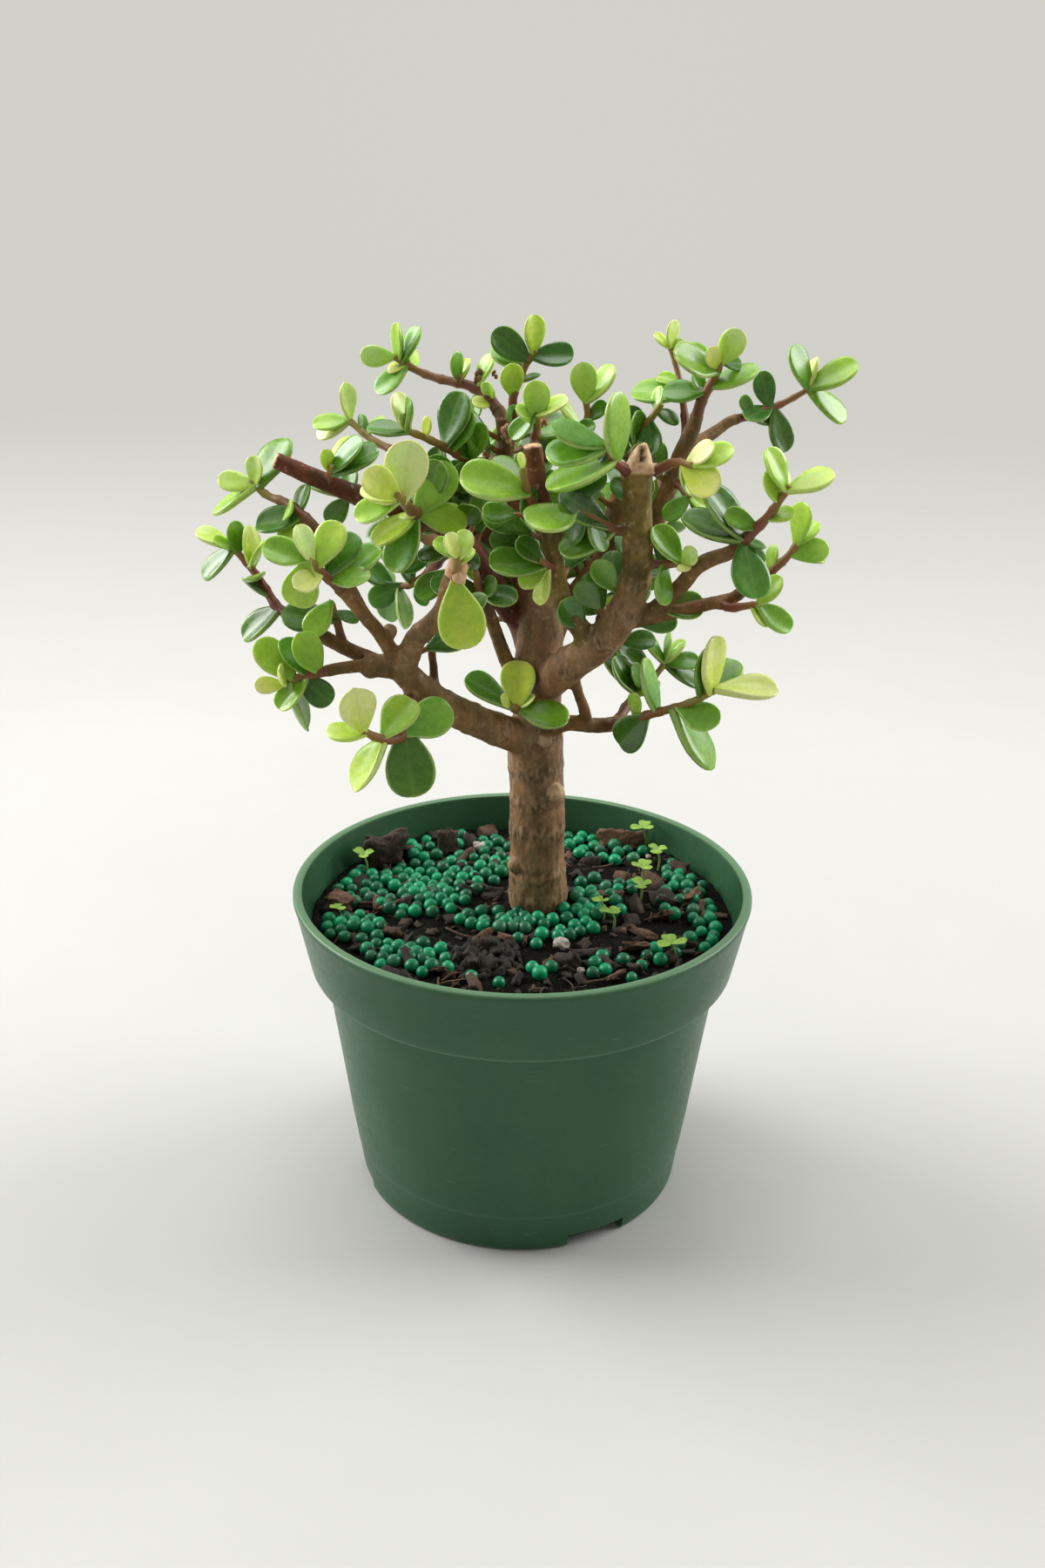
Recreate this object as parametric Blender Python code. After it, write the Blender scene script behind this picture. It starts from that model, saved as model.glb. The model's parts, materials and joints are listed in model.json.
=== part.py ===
"""A dwarf jade grown as a small tree in a round nursery pot: a cut-back woody trunk with limbs, leafy
shoots of small thick leaves, potting mix, beds of round feed prills, bark chips and clover seedlings.
Millimetres here, turned to metres as each mesh is made. +Z is up and the front faces -Y."""

import math
import random

import bpy
from mathutils import Matrix, Vector
from mathutils.bvhtree import BVHTree

MM = 0.001

POT_SIDES = 48
POT_HEIGHT = 81.0
RIM_RADIUS = 57.15
RIM_INSIDE_RADIUS = 54.8
LIP_BOTTOM = 61.7
LIP_BOTTOM_RADIUS = 53.3
UNDER_LIP_RADIUS = 49.9
BASE_RADIUS = 41.2
POT_WALL = 1.3
FLOOR_THICKNESS = 1.6
SLOT_HEIGHT = 3.7
SLOT_HALF_ANGLE = 11.0
SLOT_AZIMUTHS = (28.0, 148.0, -76.0)

SOIL_GAP = 0.35
SOIL_LEVEL = 72.2
NODE_GAP = 0.3

TRUNK_SIDES = 12
TWIG_SIDES = 5
STEM_SIDES = 4
TRUNK_FOOT = (4.0, 6.0, 50.0)
TRUNK_FOOT_RADIUS = 7.4

LEAF_LENGTH = 10.0
LEAF_HALF_WIDTH = 0.355
LEAF_HALF_THICKNESS = 0.086
LEAF_CLEARANCE = 0.32

PRILL_RADIUS = 1.85
PRILL_SPACING = 2.85

# The layout is read on the upright plane through the trunk, as seen from one point in front and above.
SEEN_FROM = Vector((-0.3, -368.7, 262.6))


def seen(across, up, back):
    """The point that shows at (across, up) on the upright plane and lies back millimetres behind it."""
    t = (back - SEEN_FROM.y) / -SEEN_FROM.y
    x = SEEN_FROM.x + t * (across - SEEN_FROM.x)
    z = SEEN_FROM.z + t * (up - SEEN_FROM.z)
    return Vector((x, back, z))


# Each limb: its sides, then (across, up, back, radius) along it. Each starts inside its parent.
LIMBS = {
    "trunk": (12, (3.9, 76, 6, 7.4), (3.5, 90, 6, 7.0), (3.3, 105, 6, 6.8), (2.7, 116, 6, 6.8),
              (3.0, 126, 6, 6.0), (3.2, 140, 6, 5.7), (4.0, 151, 6, 5.0)),
    "left_upright": (5, (0, 130, 4, 2.2), (-4, 138, 3, 1.9), (-7, 146, 3, 1.7), (-9, 152, 4, 1.5)),
    "centre_left": (7, (2, 138, 8, 3.2), (-3, 152, 11, 2.7), (-10, 165, 13, 2.4), (-8, 178, 14, 2.3),
                    (-5, 190, 14, 2.2), (-5.5, 196, 14, 2.1)),
    "centre_brown": (5, (3, 148, 9, 3.0), (-1, 160, 9, 2.4), (-3, 170, 9, 2.2), (-2, 181, 9, 2.0)),
    "centre_olive": (7, (14, 141, -5, 2.2), (13, 147, -9, 2.4), (9, 152, -11, 2.3), (7, 160, -12, 2.3),
                     (5, 172, -13, 2.2), (2.5, 180, -14, 2.2), (1, 190, -14, 2.1)),
    "right_limb": (7, (4, 132, 4, 4.2), (10, 138, -3, 4.2), (17, 143, -8, 4.0), (22, 150, -12, 3.8),
                   (25, 158, -13, 3.6), (25.5, 166, -14, 3.4), (25, 178, -15, 3.3), (25, 189, -15, 3.2)),
    "right_long": (5, (18, 145, -9, 2.0), (24, 149, -11, 1.9), (30, 150.5, -12, 1.8), (40, 153, -13, 1.6),
                   (48, 155, -14, 1.4)),
    "right_rise": (5, (28, 150.5, -11.7, 1.9), (31, 153, -13, 1.9), (36, 158, -16, 1.9), (40, 163, -20, 1.8),
                   (47, 166, -24, 1.6)),
    "low_right": (5, (4, 121, 4, 2.4), (10, 123.5, 1, 2.1), (17, 123, 3, 1.9), (22, 123.5, 5, 1.8)),
    "back_right": (7, (5, 143, 9, 3.4), (8, 150, 12, 3.2), (14, 158, 17, 3.1), (19, 166, 19, 3.0),
                   (20, 173, 19, 2.8), (22, 182, 18, 2.4)),
    "back_right_top": (5, (20, 170, 19, 2.4), (28, 171, 18, 2.3), (31, 178, 17, 2.2), (34, 187, 15, 2.1),
                       (37, 195, 13, 1.8)),
    "top_right": (5, (34.5, 188, 15, 1.6), (37, 190.5, 17, 1.6), (41, 193, 22, 1.5), (45, 196, 25, 1.3)),
    "left_limb": (7, (1, 119, 5, 4.2), (-6, 121.5, 0, 4.0), (-12, 124, -5, 3.9), (-20, 128, -10, 3.6),
                  (-26, 133, -14, 3.3), (-30, 137, -15, 3.1), (-35.5, 137.5, -15.5, 2.6)),
    "left_rise": (5, (-29, 136, -15, 2.8), (-26, 144, -22, 2.5), (-22, 148, -27, 2.3), (-19, 152, -30, 2.2),
                  (-18, 157, -31, 2.1), (-16.5, 161, -31, 1.9)),
    "left_tall": (5, (-30, 138, -15, 1.9), (-34, 145, -20, 1.7), (-38, 150, -24, 1.6), (-42, 155, -27, 1.5)),
    "left_long": (5, (-33, 137.5, -15, 2.0), (-40, 140.5, -13, 1.8), (-45, 143, -12, 1.7),
                  (-50, 146, -10, 1.6), (-55, 149, -8, 1.4)),
    "left_low": (5, (-34, 137.5, -15.5, 1.7), (-38, 137.5, -17, 1.6), (-45, 136.5, -20, 1.4)),
    "left_twig": (5, (-21, 129, -11, 1.3), (-21.5, 134, -10, 1.1), (-22.5, 146, -9, 0.9)),
    "cut_branch": (7, (-3, 150, 9, 2.9), (-6, 155, 7, 2.8), (-12, 165, 4, 2.6), (-20, 172, 0, 2.5),
                   (-30, 175.5, -4, 2.4), (-38, 178, -6, 2.3), (-48, 182, -8, 2.1), (-57, 186, -9, 1.8)),
    "back_centre": (5, (6, 146, 9, 3.2), (6, 156, 19, 2.8), (2, 168, 27, 2.4), (-3, 180, 30, 2.0)),
    "back_left": (5, (-8, 160, 12, 2.4), (-18, 166, 21, 2.2), (-27, 172, 26, 1.9), (-33, 180, 27, 1.6)),
    "back_low": (5, (3, 134, 9, 2.6), (4, 140, 20, 2.2), (0, 148, 30, 1.9), (-6, 156, 35, 1.6)),
    "back_out": (5, (14, 158, 18, 2.4), (19, 160, 28, 2.0), (24, 166, 34, 1.7)),
    "left_fork": (5, (-38, 150, -24, 1.6), (-42, 158, -20, 1.6), (-45, 164, -17, 1.5), (-47, 168.5, -15, 1.5)),
    "low_twig": (5, (15, 123.2, 2.3, 1.6), (14.3, 127, -0.5, 1.4), (12.8, 131, -2, 1.25), (11.5, 136.5, -3.5, 1.3)),
}


# Each shoot: parent radius, stem radii, then its route as (across, up, back), then its leaves as
# (tip across, tip up, back of the tip behind the route, length, degrees turned off the viewer).
SHOOTS = {
    "shoot_left_rosette": (
        1.5, 1.4, 0.9,
        ((-42, 155, -27), (-45, 158, -29), (-48, 160.5, -30), (-50.5, 163, -31)),
        ((-61, 165.5, 0, 10, 25), (-52.8, 171.2, 1, 8.5, 40), (-44.3, 172.5, 2, 11, 32),
         (-54, 156.3, -5, 8, 5), (-53.3, 151.3, -1, 11.5, 18), (-49, 169.5, 4, 7, 60),
         (-33.5, 165.5, 3, 11, 45), (-35.5, 159, 1, 9.5, 38), (-39, 169.5, 5, 10, 30)),
    ),
    "shoot_left_long": (
        1.4, 1.3, 0.8,
        ((-55, 149, -8), (-58.5, 152, -5), (-61, 156.5, -2), (-63.5, 160.5, 1), (-67.5, 165.5, 3)),
        ((-77, 169.4, 0, 8.5, 62), (-67.3, 172, 1, 7.5, 28), (-73, 166.6, -2, 6, 48),
         (-75, 158, 1, 9.5, 58), (-66.3, 143.6, 0, 12, 58), (-63.8, 171, 2, 10, 50),
         (-61, 169.3, 0, 8.5, 78), (-66.2, 158, -3, 7.5, 68), (-64.3, 152.5, -5, 9, 45)),
    ),
    "shoot_left_side": (
        1.7, 1.1, 0.7,
        ((-43, 142, -12.5), (-44, 147, -12), (-45.5, 153, -13)),
        ((-51, 144.6, -4, 11, 28), (-39.3, 148, -1, 6, 50), (-49.3, 140.3, 3, 7, 50),
         (-56.5, 148.5, 5, 11, 40)),
    ),
    "shoot_left_low": (
        1.4, 1.3, 0.8,
        ((-45, 136.5, -20), (-50, 135.2, -21), (-54.5, 134, -21), (-58, 132, -21)),
        ((-63.5, 143.2, 2, 12, 15), (-64.5, 131.8, -1, 6.8, 20), (-61, 137.8, -3, 7, 60),
         (-53.8, 145.2, -1, 11, 22), (-57.3, 143.6, 4, 10, 25), (-58.3, 125.8, -2, 10, 40),
         (-53.5, 119.6, 0, 13, 72), (-46.3, 127.9, -1, 9, 0)),
    ),
    "shoot_front_low": (
        3.3, 1.6, 0.9,
        ((-27, 133, -14), (-27.5, 126, -21), (-30, 119.5, -28), (-35, 119, -33), (-39, 121, -36)),
        ((-41.3, 132.6, -4, 11.5, 12), (-39.5, 136, 2, 15, 5), (-27, 128.5, -5, 12, 18),
         (-18.6, 126.5, 2, 13.5, 5), (-47.8, 120, -1, 9, 55), (-41.5, 105.3, 1, 14.5, 52),
         (-27, 103.8, -1, 16, 5), (-32, 131.8, 6, 10, 10)),
    ),
    "shoot_trunk_front": (
        5.9, 1.3, 0.8,
        ((0, 127, 3), (-2, 127, -5), (-3.8, 127.6, -9)),
        ((-14.6, 134.3, 1, 12.5, 48), (0, 138.9, 2, 10.5, 5), (10.6, 127.4, -2, 13, 48),
         (2, 128.3, -4, 5, 50), (-6.3, 131, -4, 4.5, 50)),
    ),
    "shoot_left_bud": (
        2.1, 1.2, 0.8,
        ((-18, 156, -31), (-16.5, 158.5, -36.5), (-15.8, 164, -38)),
        ((-18.7, 169.6, -1, 6, 30), (-13, 170, 0, 6.5, 35), (-21.5, 167.5, 2, 6, 40),
         (-15, 145, -1, 14.5, 5), (-12, 166, 2, 5, 50)),
    ),
    "shoot_left_bud_low": (
        2.3, 1.2, 0.8,
        ((-20, 150.5, -29), (-17, 149.5, -34), (-14.5, 150, -35)),
        ((-11.5, 147.5, 2, 7, 30), (-9, 154.5, 3, 8, 40), (-17.5, 155, 2, 6, 40)),
    ),
    "shoot_front_rosette": (
        2.4, 1.5, 0.9,
        ((-25, 174, -2), (-26, 174.5, -13), (-27.5, 176, -24), (-29.5, 178.3, -34)),
        ((-26, 191.2, 4, 13.5, 8), (-37.5, 183.5, -1, 9.5, 5), (-38.3, 178, 2, 9, 50),
         (-39, 172.3, 0, 10.5, 42), (-29.3, 162.8, 4, 12.5, 28), (-34.5, 165.8, 6, 11, 50),
         (-17, 172.6, 5, 10.5, 15), (-17.5, 185, 7, 12, 10), (-28, 172, -3, 6, 50)),
    ),
    "shoot_cut_end": (
        2.2, 1.2, 0.8,
        ((-45, 180.8, -7.5), (-44.6, 183, -11), (-44.3, 184.8, -12.5)),
        ((-46.3, 188.5, 0, 5.5, 25), (-36.8, 190.6, -1, 10.5, 50), (-39, 191.6, 3, 9.5, 55),
         (-33, 187, 2, 12, 58)),
    ),
    "shoot_cut_mid": (
        2.3, 1.2, 0.8,
        ((-37, 177.5, -6), (-39.5, 177, 1), (-43, 178.3, 4)),
        ((-45.3, 171.8, 0, 8, 15), (-40, 185, 2, 8, 40), (-50, 181, 3, 7.5, 55)),
    ),
    "shoot_left_out": (
        1.5, 1.4, 0.8,
        ((-47, 168.5, -15), (-50, 172, -14), (-54.5, 176, -10), (-59, 177.8, -7), (-62.8, 181, -5)),
        ((-70.2, 181.4, 0, 8.5, 32), (-61.3, 187, 0, 6.8, 42), (-64.8, 186, 2, 6, 55),
         (-71.8, 173.4, 0, 12, 72), (-62, 170.8, -4, 11.5, 42), (-58.3, 169.4, -3, 8.5, 55),
         (-54.3, 169.6, -3, 7, 68), (-54.3, 190.8, 7, 13.5, 48), (-49.5, 180.2, 3, 7, 58)),
    ),
    "shoot_left_top": (
        2.4, 1.3, 0.8,
        ((-28, 175, -3.5), (-27.5, 183, 5), (-30, 188, 10), (-35, 190.8, 14), (-40, 195, 18)),
        ((-48.2, 193.8, 0, 8.8, 42), (-41.4, 203.4, 0, 8.8, 45), (-46.8, 191, 2, 8.8, 58),
         (-37.3, 196.3, 1, 4.6, 25), (-32, 195.8, 3, 6, 55)),
    ),
    "shoot_top_left": (
        2.1, 1.5, 0.8,
        ((-5.5, 196, 14), (-9, 200.5, 17), (-13, 203, 19), (-20, 204.5, 22), (-25, 206.3, 24), (-29.5, 209, 25)),
        ((-37.2, 209.2, 0, 8, 10), (-28.2, 216.5, 0, 8.5, 60), (-23.8, 215.4, 0, 9, 70),
         (-26.2, 213.4, 2, 7, 52), (-33.3, 200.8, -1, 9.8, 42), (-31, 206, 1, 5.5, 60),
         (-16.8, 210.4, -2, 7.5, 55), (-14.2, 211.8, 0, 8.3, 42), (-7.8, 210.2, 1, 8, 62),
         (-8.5, 204.3, -4, 6, 30), (-12.6, 199.3, -4, 6, 40), (-11.8, 196.6, -3, 6.5, 35)),
    ),
    "shoot_top_inner": (
        2.2, 1.3, 0.8,
        ((-8, 181, 14), (-13, 186, 8), (-19, 189.5, 3), (-24, 191.8, -1), (-27.5, 193, -3)),
        ((-36.2, 193, 0, 9.3, 58), (-28.7, 196.6, -1, 4.8, 30), (-22, 196.2, 0, 5, 40),
         (-29.8, 201.3, 2, 8.5, 52), (-26.6, 202, 1, 9, 74), (-12, 197.6, 1, 10.5, 52),
         (-8.8, 194.2, -2, 10, 48), (-10.8, 189.3, 1, 9, 30), (-13.8, 201.6, 4, 11.5, 38),
         (-18, 184.5, 2, 7, 40)),
    ),
    "shoot_top_centre": (
        2.1, 1.3, 0.8,
        ((-5.2, 191.5, 14), (-3.3, 194.5, 9), (-3.4, 201, 7), (-1, 207.2, 8), (1.3, 210.8, 8)),
        ((-8.3, 214.6, 0, 10, 8), (-8.4, 211.3, 3, 8, 45), (0.6, 218.5, 0, 8.5, 45),
         (9.8, 209.6, 0, 9.8, 35), (-4.3, 208, -4, 8, 10), (2.5, 205.2, 2, 5.5, 68),
         (-4.8, 198.5, -3, 5.5, 40)),
    ),
    "shoot_olive_top": (
        2.1, 1.3, 0.8,
        ((1, 187, -14), (1.5, 191, -9.5), (2, 194.5, -9), (1.6, 197, -10)),
        ((1.6, 204.6, 0, 8.5, 2), (9.2, 199.6, -1, 8, 52), (-3.3, 198.2, -1, 6, 35),
         (-3.2, 191.3, 1, 7.5, 42), (8, 194, 2, 7, 50)),
    ),
    "shoot_olive_low": (
        2.3, 1.2, 0.8,
        ((6.7, 161, -12), (4.5, 162.5, -17), (3.5, 163.5, -19)),
        ((-8.8, 161, -1, 13, 42), (-2.5, 168.3, 1, 8.5, 40), (-1, 156.6, -1, 8, 35),
         (4.5, 155.2, 0, 8, 62)),
    ),
    "shoot_olive_mid": (
        2.2, 1.2, 0.8,
        ((4.2, 174, -13.5), (1, 177, -18), (-0.5, 181, -20), (-1.2, 184.8, -20)),
        ((-15.8, 181.6, -2, 15.5, 38), (0.5, 176.5, 3, 7.5, 42), (-1, 188.5, -1, 3.6, 40),
         (7, 181.5, 7, 9, 40)),
    ),
    "shoot_right_top": (
        3.3, 1.3, 0.8,
        ((24.8, 184, -15), (21.5, 185.2, -18), (19, 187, -20), (17.8, 189.8, -20)),
        ((18.8, 202.2, 1, 15, 52), (4.3, 186.4, -1, 12.5, 52), (5.3, 178.3, -2, 15.5, 58),
         (5.8, 183.2, 3, 12, 40), (4.3, 191.8, 3, 13, 48)),
    ),
    "shoot_right_cap": (
        4.6, 1.3, 0.8,
        ((25, 184.5, -15), (29.5, 185, -19), (33, 186.5, -23), (37.2, 186, -27)),
        ((43.3, 179.7, -3, 10, 5), (46.2, 189.3, 2, 9.5, 30), (42.3, 190.9, 0, 7.5, 30),
         (36.6, 178.8, 1, 7, 50)),
    ),
    "shoot_right_side": (
        3.4, 1.1, 0.7,
        ((25.4, 163, -14), (32, 163, -17), (37, 163.2, -19)),
        ((28.8, 171.7, 0, 10, 32), (33.3, 171, 3, 9, 30), (41.3, 168.3, 0, 7, 12),
         (38.6, 158.3, -3, 5.5, 15), (45.2, 153.4, 1, 12, 32), (33, 153.3, 0, 9, 48)),
    ),
    "shoot_right_inner": (
        3.4, 1.2, 0.8,
        ((25.3, 171, -14.5), (20, 170.8, -17), (15, 173.5, -18), (11.2, 175, -18)),
        ((8.3, 164.2, 0, 14.5, 45), (7, 179, 2, 13.5, 42), (-2.3, 170, 0, 13.5, 42),
         (15.3, 166.6, 2, 8, 40), (10.3, 167, 2, 7, 42)),
    ),
    "shoot_right_low": (
        4.0, 1.1, 0.7,
        ((19, 145.5, -9.5), (17.5, 149.7, -7), (17.9, 153, -7)),
        ((12.6, 152.2, 0, 7, 32), (21.5, 155, 0, 3.8, 40)),
    ),
    "shoot_right_long": (
        1.4, 1.3, 0.8,
        ((48, 155, -14), (55, 160, -16), (60, 165, -17), (62, 168, -17)),
        ((69.6, 167, -1, 8.8, 15), (63.8, 177.8, 1, 9, 48), (69.4, 164.2, 1, 8.8, 64),
         (66.5, 173.3, 3, 7, 40), (57, 168, 3, 6, 55)),
    ),
    "shoot_right_rise": (
        1.6, 1.4, 0.8,
        ((47, 166, -24), (51, 170, -27), (55, 174.5, -29), (57.5, 178.5, -30), (59.3, 181.5, -30)),
        ((52.8, 189.5, 0, 10, 62), (56, 187.6, 2, 7, 50), (69.5, 184.3, 0, 11, 50),
         (54.3, 184.3, -2, 7.5, 52), (61.2, 175.3, 0, 6.5, 48), (40.2, 180.2, -1, 14.5, 52),
         (35, 173.5, 0, 13.5, 56), (44.8, 174.8, 2, 8, 22), (54.7, 166.8, 2, 6, 64),
         (52.6, 155, -2, 12.5, 34), (54, 161, 1, 9, 44)),
    ),
    "shoot_right_under": (
        1.5, 1.2, 0.7,
        ((44, 154, -13.5), (48, 152.8, -17), (54.8, 153.8, -20)),
        ((59.2, 160.3, 0, 8, 42), (61.7, 147.2, 0, 9.5, 36), (57, 148.6, -2, 6, 58)),
    ),
    "shoot_low_right_back": (
        1.8, 1.4, 0.8,
        ((22, 123.5, 5), (25, 129, 12), (29.5, 134, 18), (33, 138.8, 22)),
        ((20, 139.8, 0, 10.5, 52), (21.3, 143.7, 1, 11.5, 52), (18, 141, 4, 12, 45),
         (27, 146.3, 1, 9.5, 60), (34, 146.5, 0, 7.6, 74), (38.2, 145.3, 2, 7, 60),
         (41.3, 139.4, 0, 8.6, 48), (41.8, 133.2, 1, 10, 58), (24.3, 138.9, -2, 7.5, 60),
         (32.5, 133.5, -5, 6.5, 50)),
    ),
    "shoot_low_right": (
        1.9, 1.4, 0.8,
        ((19, 123, 4), (24, 124, -4), (30, 126, -11), (38, 128.5, -16), (43, 131, -20), (45.5, 132.5, -21)),
        ((23.6, 118.6, -3, 12, 5), (46.8, 123.4, -2, 12, 26), (44.6, 112, 2, 17, 68),
         (41.3, 142.7, 2, 11.5, 56), (43.2, 146, -1, 14.3, 54), (48.4, 143, 3, 12, 38),
         (60.3, 131.8, 0, 14.5, 56), (26.8, 139.8, 3, 13, 58), (27, 131.5, 2, 6.5, 50)),
    ),
    "shoot_back_right_top": (
        1.8, 1.5, 0.8,
        ((37, 195, 13), (38.5, 200.5, 11), (41, 205.5, 10), (42.2, 208.8, 10)),
        ((46.3, 215.8, 0, 8.8, 5), (33.8, 212, 2, 9.5, 44), (39.2, 211.8, -3, 6.3, 25),
         (29.8, 211, 0, 12, 48), (51, 206.3, 0, 11.5, 48), (29.8, 201.5, 1, 10, 46),
         (36.3, 206, 4, 6, 40), (47, 207.8, 3, 5, 45)),
    ),
    "shoot_back_right_thin": (
        2.1, 1.0, 0.6,
        ((35.5, 191, 14), (34.5, 199, 18), (33, 206, 22), (31, 211.6, 24)),
        ((30.8, 217.8, 0, 6.4, 58), (26.9, 214.3, 0, 5, 50), (34, 213.4, 0, 4, 50),
         (22.5, 201.8, -1, 12, 42), (47.2, 190.9, -6, 11.5, 58), (29.5, 205, 4, 6, 40)),
    ),
    "shoot_top_right": (
        1.3, 1.2, 0.7,
        ((45, 196, 25), (50, 197.5, 28), (56, 199.8, 31), (62, 203.2, 33)),
        ((48.3, 195.6, -2, 9, 35), (50.8, 207, 1, 8.3, 15), (58, 188, 0, 10, 32),
         (57.3, 212.5, 0, 10.5, 48), (62.3, 210.8, 1, 8, 62), (72.6, 208.2, 0, 11.5, 46),
         (70.8, 196, 1, 11, 56), (56, 196.8, -2, 8, 20), (46, 201, 2, 6, 30)),
    ),
    "shoot_back_right_mid": (
        2.4, 1.4, 0.8,
        ((22, 182, 18), (23.5, 188, 18), (26, 194, 17), (29.5, 199.5, 16)),
        ((24, 198, -1, 9, 52), (26.8, 187.6, -3, 8.5, 20), (21.5, 199, 2, 10, 32),
         (29, 203.5, 3, 6, 40), (19, 192, 3, 8, 40), (33.5, 196, 2, 6, 40)),
    ),
    "shoot_right_back_low": (
        2.2, 1.2, 0.8,
        ((32.5, 183, 16), (35, 181, 12), (36.8, 178.6, 9)),
        ((31.5, 173.4, -1, 7.6, 18), (42, 175, 0, 7, 42), (38.6, 175.3, 2, 4.5, 45),
         (41.5, 182, 3, 7.5, 35)),
    ),
    "shoot_centre_back": (
        2.0, 1.4, 0.8,
        ((-2, 181, 9), (3, 187, 7), (9, 191.5, 5), (13, 195.5, 4), (12.8, 199.6, 4)),
        ((11.6, 208.6, 0, 9, 2), (19.5, 207, 1, 9.5, 56), (15, 194.6, -4, 7, 20),
         (6.2, 199.3, 0, 7.5, 60), (17.5, 199.5, 0, 6, 35), (7, 195.3, 2, 7.5, 40),
         (4, 194.6, 4, 8, 40)),
    ),
    "shoot_centre_left": (
        2.4, 1.3, 0.8,
        ((-9.6, 168, 13), (-15, 173, 10), (-19, 177.5, 8), (-20.5, 181, 8)),
        ((-12.3, 175.2, -1, 5.5, 60), (-24, 170, 2, 9, 40), (-25, 184, 2, 8, 40),
         (-14, 181, 2, 8, 40), (-20, 189.5, 3, 8, 40)),
    ),
    "shoot_left_upright": (
        1.5, 1.3, 0.8,
        ((-9, 152, 4), (-11, 157, 2), (-12, 161, 1)),
        ((-1.2, 155, -1, 9.5, 28), (-5, 160.5, 1, 8.5, 40), (-17.5, 157.5, 1, 7.5, 40),
         (-9.5, 167.5, 2, 7, 40)),
    ),
    "shoot_back_a": (
        2.0, 1.4, 0.8,
        ((-3, 180, 30), (-4, 183, 35), (-5, 186, 39), (-6, 190, 42)),
        (),
    ),
    "shoot_back_b": (
        1.6, 1.4, 0.8,
        ((-33, 180, 27), (-31.5, 178, 33), (-30, 176, 38), (-28.5, 174, 43)),
        (),
    ),
    "shoot_back_c": (
        1.6, 1.4, 0.8,
        ((-6, 156, 35), (-7, 158.5, 40), (-8, 161.5, 44), (-9, 165, 47)),
        (),
    ),
    "shoot_back_d": (
        1.7, 1.4, 0.8,
        ((24, 166, 34), (28, 172, 38), (32, 179, 42), (35, 185, 44)),
        (),
    ),
    "shoot_back_e": (
        2.4, 1.4, 0.8,
        ((2, 168, 27), (9, 172, 33), (13, 178, 36), (15, 185, 37)),
        (),
    ),
    "shoot_back_f": (
        2.2, 1.4, 0.8,
        ((-18, 166, 21), (-22, 161, 26), (-26.5, 157.5, 30), (-31, 157, 34)),
        ((-36.5, 153, -1, 9.5, 12), (-28.6, 146.5, -2, 11, 58), (-32.3, 147.5, 1, 10, 40),
         (-24, 152.5, -1, 8, 35), (-38.5, 162, 2, 9.5, 30), (-29, 165, 2, 8.5, 40),
         (-21.5, 168, 5, 8, 45), (-34, 158.5, 9, 8.5, 40)),
    ),
    "shoot_back_g": (
        3.0, 1.4, 0.8,
        ((18, 164, 19), (20.5, 167, 25), (23, 170.5, 30), (25, 174, 33)),
        (),
    ),
}

BACK_PAIRS = 4

# Each prill bed: its centre on the soil and how many prills lie in it.
PRILL_BEDS = {
    "prills_left": (-25.0, 9.0, 13),
    "prills_front": (-1.0, -8.0, 9),
    "prills_right": (17.0, -1.0, 6),
    "prills_rim": (-25.0, -24.0, 6),
}

# Each chip: its place on the soil, its three sizes, its turn and its lean in degrees.
CHIPS = {
    "bark_back_left": (-37.0, 29.0, 10.0, 5.5, 8.5, 30.0, 12.0),
    "bark_left": (-46.0, 3.0, 6.0, 5.0, 3.6, -20.0, 0.0),
    "bark_grey": (-20.0, 35.0, 5.0, 2.2, 6.5, 15.0, -12.0),
    "bark_back_right": (27.0, 40.0, 11.0, 2.6, 5.0, -12.0, -14.0),
}

# Each seedling: its place on the soil, its height and its turn in degrees.
SEEDLINGS = {
    "clover_left": (-41.5, 21.0, 6.0, 20.0),
    "clover_right": (31.0, 13.0, 6.5, 70.0),
    "clover_front": (36.0, -24.0, 5.0, -30.0),
}
SEEDLING_STEM_RADIUS = 0.5
SEEDLING_SIDES = 5


def clear_scene():
    for thing in list(bpy.data.objects):
        bpy.data.objects.remove(thing)
    for mesh in list(bpy.data.meshes):
        bpy.data.meshes.remove(mesh)


def plain_material(name, colour, roughness):
    material = bpy.data.materials.new(name)
    material.use_nodes = True
    shader = material.node_tree.nodes["Principled BSDF"]
    shader.inputs["Base Color"].default_value = (*colour, 1.0)
    shader.inputs["Roughness"].default_value = roughness
    return material


def mesh_object(name, points, faces):
    mesh = bpy.data.meshes.new(name)
    mesh.from_pydata([Vector(p) * MM for p in points], [], faces)
    mesh.validate()
    thing = bpy.data.objects.new(name, mesh)
    bpy.context.scene.collection.objects.link(thing)
    return thing


def finish(thing, material, sharp_degrees):
    thing.data.materials.clear()
    thing.data.materials.append(material)
    for face in thing.data.polygons:
        face.use_smooth = True
        face.material_index = 0
    thing.data.set_sharp_from_angle(angle=math.radians(sharp_degrees))
    return thing


def apply_boolean(base, operation, others, solver="EXACT"):
    """Unites base with others, or cuts them from it, as one Boolean on a collection."""
    group = bpy.data.collections.new("cutters")
    bpy.context.scene.collection.children.link(group)
    for other in others:
        group.objects.link(other)
    step = base.modifiers.new("join", "BOOLEAN")
    step.operation = operation
    step.operand_type = "COLLECTION"
    step.collection = group
    step.solver = solver
    graph = bpy.context.evaluated_depsgraph_get()
    joined = bpy.data.meshes.new_from_object(base.evaluated_get(graph))
    base.modifiers.clear()
    base.data = joined
    for other in others:
        bpy.data.objects.remove(other)
    bpy.data.collections.remove(group)
    return base


def polar(radius, degrees, height):
    """A point at this many degrees round from the front towards +X."""
    angle = math.radians(degrees)
    return Vector((radius * math.sin(angle), -radius * math.cos(angle), height))


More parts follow.
